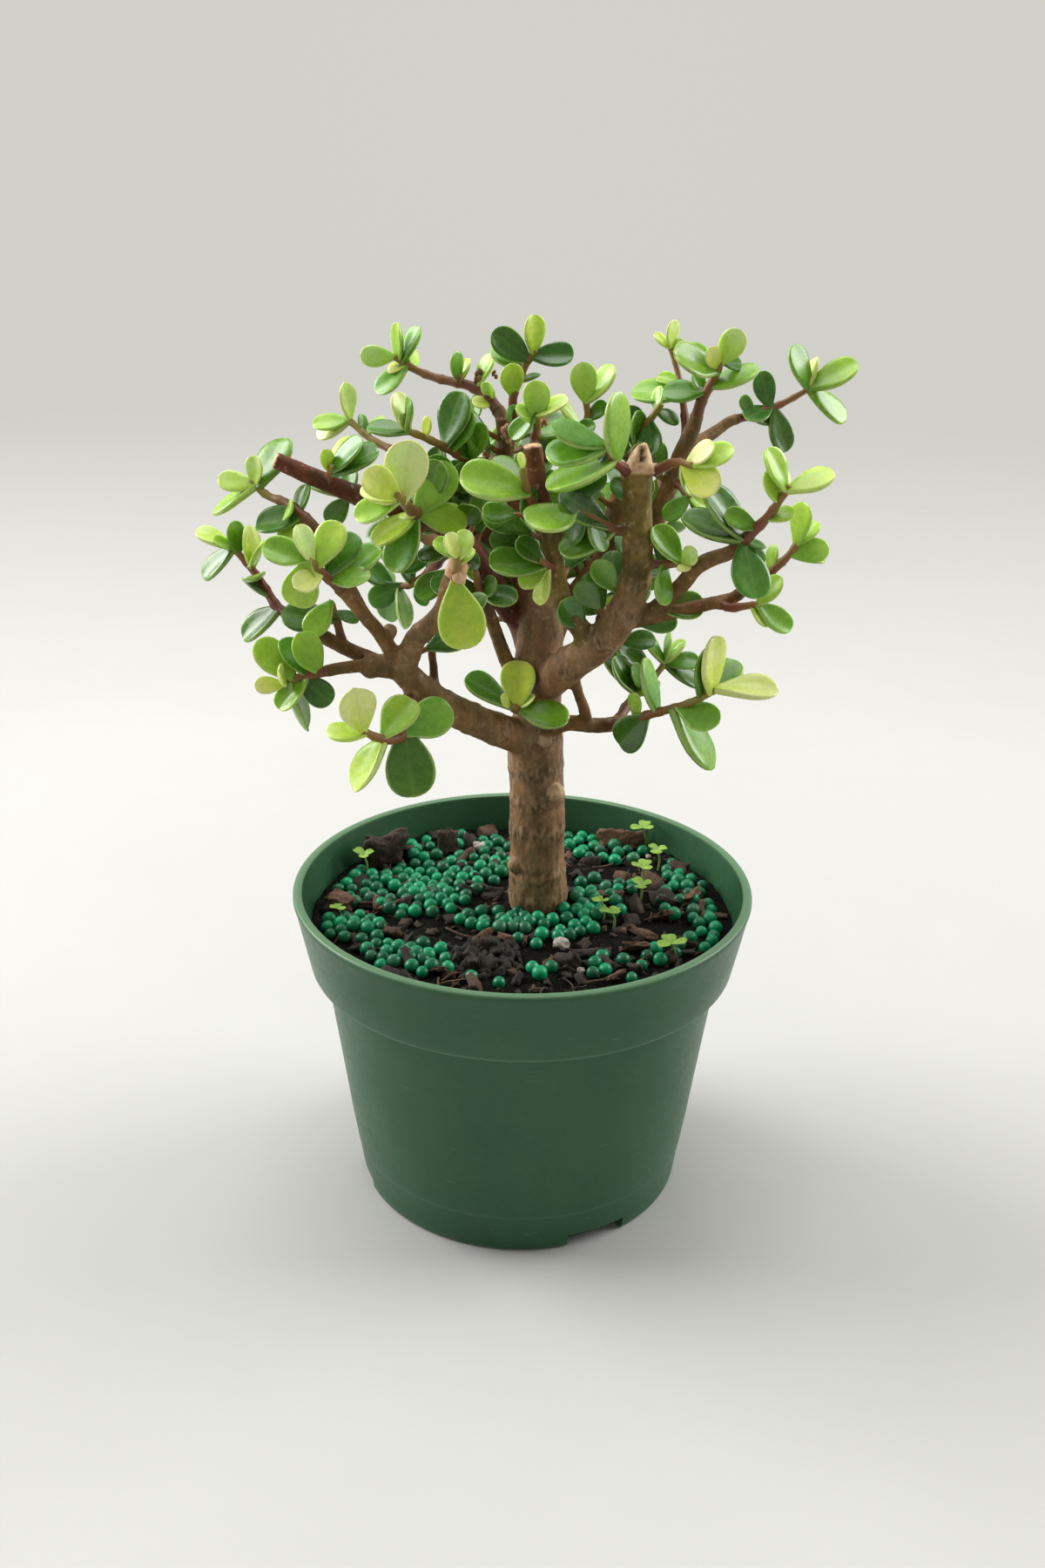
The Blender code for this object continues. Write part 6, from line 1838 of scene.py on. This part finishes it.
def speck_group():
    """Small scattered specks, as a mask that is one on a speck."""
    group, taken, given = new_group("scattered_specks", ("Scale", "Least"), ("Mask",))
    made = noise_in(group, taken, "Scale", 2.0)
    above = group.nodes.new("ShaderNodeMapRange")
    group.links.new(made.outputs["Fac"], above.inputs["Value"])
    group.links.new(taken["Least"], above.inputs["From Min"])
    top = sums(group, "ADD", taken["Least"], 0.05)
    group.links.new(top, above.inputs["From Max"])
    group.links.new(above.outputs["Result"], given["Mask"])
    return group


# Finishes


def leaf_finish(grain, specks):
    """Jade leaf: tone by leaf, partly its own colour and partly painted shade, a thin pale margin, a faint
    midline, and a glossy fleshy skin.
    """
    material, tree, shader = new_finish("jade_leaf")
    paleness, age, hue_share = attribute(tree, "tint")
    out, across, top = attribute(tree, "place")
    place = object_place(tree)
    grown = placed(tree, grain, Place=place, Coarse_scale=0.12, Fine_scale=0.7, Fine_share=0.35)
    # The tone carries each leaf's own colour and, for leaves lying in shade, painted shade.
    tone = plus(tree, paleness, about(tree, grown["Value"], 0.5, 0.55))
    # Paler towards the tip of the leaf, deeper at its root.
    tone = plus(tree, tone, about(tree, out, 0.55, 0.14))
    body = ramp(tree, tone, (0.0, (0.02, 0.075, 0.004)), (0.25, (0.055, 0.165, 0.008)),
                (0.5, (0.14, 0.34, 0.018)), (0.7, (0.32, 0.56, 0.035)), (0.88, (0.6, 0.76, 0.09)),
                (1.0, (0.8, 0.86, 0.3)))
    hue = ramp(tree, hue_share, (0.0, (0.84, 1.02, 1.3)), (0.5, (0.98, 1.02, 1.0)), (1.0, (1.1, 1.0, 0.8)))
    body = blended(tree, 0.9, body, hue, "MULTIPLY")
    # The pale margin: a thin line at the sides and tip, broken up along the leaf.
    side = sums(tree, "POWER", sums(tree, "ABSOLUTE", across), 5.0)
    tip = sums(tree, "POWER", out, 14.0)
    reach = plus(tree, sums(tree, "MAXIMUM", side, tip), about(tree, grown["Coarse"], 0.5, 1.2))
    reach = plus(tree, reach, about(tree, age, 0.5, 0.4))
    # Variegated young leaves carry a far wider margin.
    variegated = rising(tree, paleness, 0.9, 0.97)
    reach = plus(tree, reach, times(tree, variegated, 0.35))
    reach = plus(tree, reach, times(tree, paleness, 0.12))
    margin = rising(tree, reach, 0.66, 0.94)
    pale = blended(tree, paleness, (0.26, 0.42, 0.07), (0.8, 0.82, 0.34))
    strength = plus(tree, 0.6, times(tree, variegated, 0.35))
    body = blended(tree, times(tree, margin, strength), body, pale)
    body = washed(tree, body, midline(tree, across, 8.0), 0.16, (0.36, 0.52, 0.12))
    underside = sums(tree, "SUBTRACT", 1.0, top)
    body = washed(tree, body, underside, 0.22, (0.2, 0.34, 0.06))
    spots = placed(tree, specks, Place=place, Scale=0.7, Least=0.72)
    body = washed(tree, body, spots["Mask"], 0.2, (0.2, 0.17, 0.03))
    surfaced(tree, shader, body, grained_roughness(tree, grown["Fine"], 0.2, 0.36), 0.62)
    fleshy(shader, 0.22, (0.4, 0.9, 0.1), 0.002)
    relief(tree, shader, grown["Value"], 0.3, 0.3)
    return material


def stem_finish(grain):
    """Young stem: brown or red at its foot, greener towards its tip."""
    material, tree, shader = new_finish("young_stem")
    redness, *_ = attribute(tree, "tint")
    out, *_ = attribute(tree, "place")
    grown = placed(tree, grain, Place=object_place(tree), Coarse_scale=0.4, Fine_scale=2.2, Fine_share=0.4)
    run = plus(tree, out, about(tree, grown["Value"], 0.5, 0.7))
    green = ramp(tree, run, (0.0, (0.13, 0.05, 0.018)), (0.5, (0.2, 0.09, 0.02)), (1.0, (0.27, 0.28, 0.035)))
    red = ramp(tree, run, (0.0, (0.11, 0.026, 0.012)), (0.5, (0.21, 0.045, 0.018)), (1.0, (0.28, 0.12, 0.03)))
    surfaced(tree, shader, blended(tree, redness, green, red), 0.45)
    relief(tree, shader, grown["Fine"], 0.35, 0.2)
    return material


def bark_finish(grain, specks):
    """Tan bark that turns red or olive by limb, with dark ring scars, pale cut wood, and painted shade in its
    hollow and crack.
    """
    material, tree, shader = new_finish("tan_bark")
    girth, cut, scar = attribute(tree, "tint")
    red, olive, hollow = attribute(tree, "place")
    plain = object_place(tree)
    drawn_out = object_place(tree, (1.0, 1.0, 0.5))
    fibre = placed(tree, grain, Place=drawn_out, Coarse_scale=0.2, Fine_scale=0.9, Fine_share=0.3)
    blotch = placed(tree, grain, Place=plain, Coarse_scale=0.13, Fine_scale=0.7, Fine_share=0.4)
    old = ramp(tree, fibre["Value"], (0.3, (0.12, 0.062, 0.028)), (0.44, (0.25, 0.145, 0.072)),
               (0.6, (0.37, 0.24, 0.135)), (0.74, (0.52, 0.39, 0.26)))
    young = ramp(tree, fibre["Value"], (0.3, (0.09, 0.047, 0.018)), (0.5, (0.2, 0.12, 0.045)),
                 (0.7, (0.34, 0.23, 0.11)))
    thick = rising(tree, girth, 0.2, 0.62)
    body = blended(tree, thick, young, old)
    red_bark = ramp(tree, blotch["Value"], (0.38, (0.07, 0.013, 0.007)), (0.55, (0.16, 0.028, 0.016)),
                    (0.7, (0.27, 0.08, 0.05)))
    olive_bark = ramp(tree, blotch["Value"], (0.38, (0.1, 0.07, 0.01)), (0.55, (0.21, 0.165, 0.025)),
                      (0.7, (0.33, 0.27, 0.06)))
    body = washed(tree, body, red, 0.85, red_bark)
    body = washed(tree, body, olive, 0.85, olive_bark)
    warm = ramp(tree, blotch["Coarse"], (0.36, (0.62, 0.66, 0.6)), (0.62, (1.2, 1.04, 0.96)))
    body = blended(tree, 0.8, body, warm, "MULTIPLY")
    lichen = placed(tree, specks, Place=plain, Scale=0.7, Least=0.66)
    body = washed(tree, body, lichen["Mask"], 0.5, (0.5, 0.36, 0.24))
    ring = times(tree, rising(tree, scar, 0.2, 0.85), thick)
    ring_bark = ramp(tree, fibre["Fine"], (0.4, (0.07, 0.036, 0.016)), (0.62, (0.4, 0.27, 0.15)))
    body = washed(tree, body, ring, 0.5, ring_bark)
    cut_wood_tone = ramp(tree, blotch["Fine"], (0.26, (0.2, 0.08, 0.03)), (0.38, (0.6, 0.35, 0.18)),
                         (0.6, (0.76, 0.54, 0.33)))
    body = blended(tree, cut, body, cut_wood_tone)
    # Painted shade: the sunken hollow and the crack are painted near black.
    body = blended(tree, hollow, body, (0.022, 0.012, 0.008))
    surfaced(tree, shader, body, grained_roughness(tree, fibre["Fine"], 0.75, 0.48), 0.3)
    relief(tree, shader, fibre["Value"], 0.6, 0.7)
    return material


def bud_finish(grain):
    """Dry husks, from dark brown to straw."""
    material, tree, shader = new_finish("dry_bud")
    paleness, *_ = attribute(tree, "tint")
    husk = placed(tree, grain, Place=object_place(tree), Coarse_scale=0.9, Fine_scale=3.0, Fine_share=0.4)
    tone = plus(tree, paleness, about(tree, husk["Value"], 0.5, 0.9))
    body = ramp(tree, tone, (0.1, (0.07, 0.03, 0.015)), (0.5, (0.3, 0.14, 0.06)), (0.95, (0.72, 0.45, 0.25)))
    surfaced(tree, shader, body, 0.7)
    relief(tree, shader, husk["Value"], 0.6, 0.4)
    return material


# A ramp runs from 0 to 1, so heights on the pot are divided by this.
TALLEST = 100.0


def height_band(tree, level, low, full, still_full, high):
    """A mask that rises from one height on the pot to the next and falls off again."""
    stops = ((low, 0.0), (full, 1.0), (still_full, 1.0), (high, 0.0))
    return ramp(tree, level, *((height / TALLEST, grey(value)) for height, value in stops))


def pot_finish(grain, specks):
    """Green moulded plastic, with slow colour flow, scuffs and scratches, rubbed paler low down, with painted
    highlights on the rim's top and the lip's lower edge.
    """
    material, tree, shader = new_finish("green_pot_plastic")
    place = object_place(tree)
    height = tree.nodes.new("ShaderNodeSeparateXYZ")
    tree.links.new(place, height.inputs[0])
    level = sums(tree, "DIVIDE", height.outputs["Z"], TALLEST)
    flow = placed(tree, grain, Place=place, Coarse_scale=0.03, Fine_scale=0.6, Fine_share=0.25)
    body = ramp(tree, flow["Value"], (0.35, (0.023, 0.083, 0.036)), (0.65, (0.033, 0.11, 0.049)))
    # Painted highlights: the rim's top and the lip's lower edge are painted paler where light catches them,
    # and the foot is rubbed paler.
    rim = rising(tree, level, (POT_HEIGHT - 0.7) / TALLEST, (POT_HEIGHT - 0.1) / TALLEST)
    body = washed(tree, body, rim, 0.36, (0.26, 0.44, 0.24))
    # Painted highlight along the lip's lower edge.
    lip = height_band(tree, level, LIP_BOTTOM - 0.05, LIP_BOTTOM + 0.15, LIP_BOTTOM + 0.65, LIP_BOTTOM + 1.0)
    body = washed(tree, body, lip, 0.22, (0.2, 0.36, 0.2))
    ledge = height_band(tree, level, FOOT_LEDGE - 0.6, FOOT_LEDGE - 0.3, FOOT_LEDGE, FOOT_LEDGE + 0.4)
    body = washed(tree, body, ledge, 0.2, (0.13, 0.23, 0.14))
    foot = ramp(tree, level, (0.0, grey(1.0)), (0.012, grey(0.0)))
    body = washed(tree, body, foot, 0.4, (0.2, 0.3, 0.2))
    scuff = placed(tree, specks, Place=object_place(tree, (1, 1, 2.2)), Scale=0.9, Least=0.7)
    low = ramp(tree, level, (0.02, grey(1.0)), (0.3, grey(0.25)))
    body = washed(tree, body, times(tree, scuff["Mask"], low), 0.4, (0.25, 0.36, 0.26))
    scratch = placed(tree, specks, Place=object_place(tree, (0.12, 0.12, 1.6)), Scale=1.1, Least=0.71)
    body = washed(tree, body, scratch["Mask"], 0.16, (0.3, 0.4, 0.3))
    surfaced(tree, shader, body, grained_roughness(tree, flow["Fine"], 0.32, 0.44), 0.32)
    relief(tree, shader, flow["Fine"], 0.06, 0.08)
    return material


def soil_finish(grain, specks):
    """Damp, nearly black mix with small brown bits."""
    material, tree, shader = new_finish("damp_potting_mix")
    place = object_place(tree)
    crumb = placed(tree, grain, Place=place, Coarse_scale=0.25, Fine_scale=1.4, Fine_share=0.5)
    body = ramp(tree, crumb["Value"], (0.35, (0.002, 0.0025, 0.002)), (0.52, (0.006, 0.0055, 0.004)),
                (0.7, (0.02, 0.014, 0.009)))
    bits = placed(tree, specks, Place=place, Scale=1.1, Least=0.66)
    body = blended(tree, bits["Mask"], body, (0.07, 0.042, 0.025))
    surfaced(tree, shader, body, grained_roughness(tree, crumb["Fine"], 0.7, 0.95), 0.08)
    relief(tree, shader, crumb["Value"], 1.0, 1.2)
    return material


def prill_finish(grain):
    """Green resin coat, each prill a shade of its own, a few of them dusty."""
    material, tree, shader = new_finish("feed_prill")
    paleness, dust, _ = attribute(tree, "tint")
    coat = placed(tree, grain, Place=object_place(tree), Coarse_scale=0.4, Fine_scale=2.5, Fine_share=0.3)
    shade = plus(tree, times(tree, paleness, 0.6), times(tree, coat["Value"], 0.5))
    body = ramp(tree, shade, (0.15, (0.0, 0.06, 0.024)), (0.5, (0.0, 0.17, 0.068)), (0.85, (0.0, 0.34, 0.14)))
    body = washed(tree, body, dust, 0.6, (0.05, 0.13, 0.075))
    surfaced(tree, shader, body, grained_roughness(tree, coat["Fine"], 0.24, 0.42), 0.35)
    fleshy(shader, 0.15, (0.1, 1.0, 0.5), 0.0012)
    relief(tree, shader, coat["Value"], 0.35, 0.35)
    return material


def flake_finish(grain):
    """Bark flakes and crumbs, from damp and dark to dry and tan."""
    material, tree, shader = new_finish("bark_flake")
    warmth, *_ = attribute(tree, "tint")
    place = object_place(tree, (1, 1, 0.5))
    layer = placed(tree, grain, Place=place, Coarse_scale=0.5, Fine_scale=2.2, Fine_share=0.5)
    dark = ramp(tree, layer["Value"], (0.35, (0.006, 0.005, 0.004)), (0.6, (0.03, 0.02, 0.013)),
                (0.75, (0.09, 0.065, 0.045)))
    warm = ramp(tree, layer["Value"], (0.35, (0.06, 0.028, 0.014)), (0.6, (0.2, 0.1, 0.055)),
                (0.75, (0.42, 0.27, 0.17)))
    surfaced(tree, shader, blended(tree, warmth, dark, warm), 0.85)
    relief(tree, shader, layer["Value"], 0.8, 0.7)
    return material


def grain_finish(grain):
    """Pale porous mineral grains."""
    material, tree, shader = new_finish("pale_grain")
    pore = placed(tree, grain, Place=object_place(tree), Coarse_scale=0.9, Fine_scale=3.0, Fine_share=0.5)
    body = ramp(tree, pore["Value"], (0.35, (0.2, 0.16, 0.12)), (0.6, (0.62, 0.57, 0.5)))
    surfaced(tree, shader, body, 0.9)
    relief(tree, shader, pore["Fine"], 0.8, 0.5)
    return material


def clover_finish(grain):
    """Thin yellow-green leaflets with a paler midline."""
    material, tree, shader = new_finish("clover_leaf")
    paleness, *_ = attribute(tree, "tint")
    _, across, _ = attribute(tree, "place")
    vein = placed(tree, grain, Place=object_place(tree), Coarse_scale=0.7, Fine_scale=3.0, Fine_share=0.4)
    tone = plus(tree, times(tree, paleness, 0.6), times(tree, vein["Value"], 0.5))
    body = ramp(tree, tone, (0.2, (0.08, 0.16, 0.015)), (0.6, (0.17, 0.33, 0.03)), (1.0, (0.3, 0.47, 0.06)))
    body = washed(tree, body, midline(tree, across, 9.0), 0.3, (0.45, 0.58, 0.2))
    surfaced(tree, shader, body, 0.5)
    relief(tree, shader, vein["Fine"], 0.3, 0.2)
    return material


def floor_finish(grain):
    """A plain pale floor. Far from the plant it fades out, so that no edge shows."""
    material, tree, shader = new_finish("pale_floor")
    place = object_place(tree)
    cloud = placed(tree, grain, Place=place, Coarse_scale=0.004, Fine_scale=0.05, Fine_share=0.2)
    body = ramp(tree, cloud["Value"], (0.3, (0.51, 0.507, 0.487)), (0.7, (0.54, 0.537, 0.516)))
    surfaced(tree, shader, body, 0.8, 0.05)
    far = tree.nodes.new("ShaderNodeVectorMath")
    far.operation = "LENGTH"
    tree.links.new(place, far.inputs[0])
    share = sums(tree, "DIVIDE", far.outputs["Value"], FLOOR_FADE)
    fade = ramp(tree, share, (0.17, grey(1.0)), (0.32, grey(0.55)), (0.6, grey(0.0)))
    tree.links.new(fade, shader.inputs["Alpha"])
    return material


# Floor, light and camera

FLOOR_HALF = 3000.0
FLOOR_FADE = 2000.0
LIT_HEIGHT = 0.1
LOOKED_AT_HEIGHT = 107.5
CAMERA_ROLL = 0.72
SENSOR = 36.0
FOCAL_SHARE = 1881.0 / 1800.0


def add_floor(material):
    reach = FLOOR_HALF
    corners = [(-reach, -reach, 0), (reach, -reach, 0), (reach, reach, 0), (-reach, reach, 0)]
    mesh_piece("floor", corners, [(0, 1, 2, 3)], material, smooth=False)


def add_panel(name, place, size, power):
    light = bpy.data.lights.new(name, "AREA")
    light.shape = "RECTANGLE"
    light.size, light.size_y = size
    light.energy = power
    lamp = bpy.data.objects.new(name, light)
    bpy.context.scene.collection.objects.link(lamp)
    lamp.location = place
    lamp.rotation_mode = "QUATERNION"
    lamp.rotation_quaternion = (Vector((0, 0, LIT_HEIGHT)) - Vector(place)).to_track_quat("-Z", "Y")


def add_light():
    """A soft room, brighter behind the plant than in front of it, and three large soft panels."""
    world = bpy.data.worlds.new("soft_room")
    bpy.context.scene.world = world
    world.use_nodes = True
    tree = world.node_tree
    sky = tree.nodes["Background"]
    way = tree.nodes.new("ShaderNodeTexCoord")
    parts = tree.nodes.new("ShaderNodeSeparateXYZ")
    tree.links.new(way.outputs["Generated"], parts.inputs[0])
    depth = plus(tree, times(tree, parts.outputs["Y"], 0.5), 0.5)
    room = ramp(tree, depth, (0.0, (0.33, 0.327, 0.31)), (0.5, (0.38, 0.377, 0.358)),
                (0.9, (0.6, 0.592, 0.555)), (1.0, (0.64, 0.632, 0.59)))
    tree.links.new(room, sky.inputs["Color"])
    sky.inputs["Strength"].default_value = 1.0
    add_panel("window_left", (-1.25, 0.4, 0.8), (1.0, 0.9), 26.0)
    add_panel("ceiling", (-0.1, 0.35, 1.6), (1.1, 1.1), 13.0)
    add_panel("fill_right", (1.25, 0.38, 0.75), (0.9, 0.9), 17.0)


def add_camera():
    """The photograph's view, from the point that the layout is read from, rolled a little."""
    view = bpy.data.cameras.new("photo_view")
    camera = bpy.data.objects.new("photo_view", view)
    bpy.context.scene.collection.objects.link(camera)
    place = SEEN_FROM * MM
    forward = (Vector((SEEN_FROM.x, 0.0, LOOKED_AT_HEIGHT)) * MM - place).normalized()
    level = Vector((1, 0, 0))
    up = level.cross(forward)
    roll = math.radians(CAMERA_ROLL)
    right = level * math.cos(roll) + up * math.sin(roll)
    top = up * math.cos(roll) - level * math.sin(roll)
    turn = Matrix((right, top, -forward)).transposed().to_4x4()
    camera.matrix_world = Matrix.Translation(place) @ turn
    view.sensor_width = SENSOR
    view.lens = SENSOR * FOCAL_SHARE
    view.clip_start, view.clip_end = 0.01, 20.0
    bpy.context.scene.camera = camera


def main():
    bpy.context.scene.view_settings.view_transform = "Standard"
    grain = grain_group()
    specks = speck_group()
    add_camera()
    add_light()
    add_floor(floor_finish(grain))
    jade = leaf_finish(grain, specks)
    young = stem_finish(grain)
    leafy_pieces(*laid_out(), jade, young)
    inner_leaves(jade, young)
    wood_piece(bark_finish(grain, specks))
    bud_pieces(bud_finish(grain))
    pot_piece(pot_finish(grain, specks))
    soil_piece(soil_finish(grain, specks))
    prill_pieces(prill_finish(grain))
    flake = flake_finish(grain)
    chip_pieces(flake)
    litter_pieces(flake, grain_finish(grain))
    seedling_pieces(clover_finish(grain))


main()
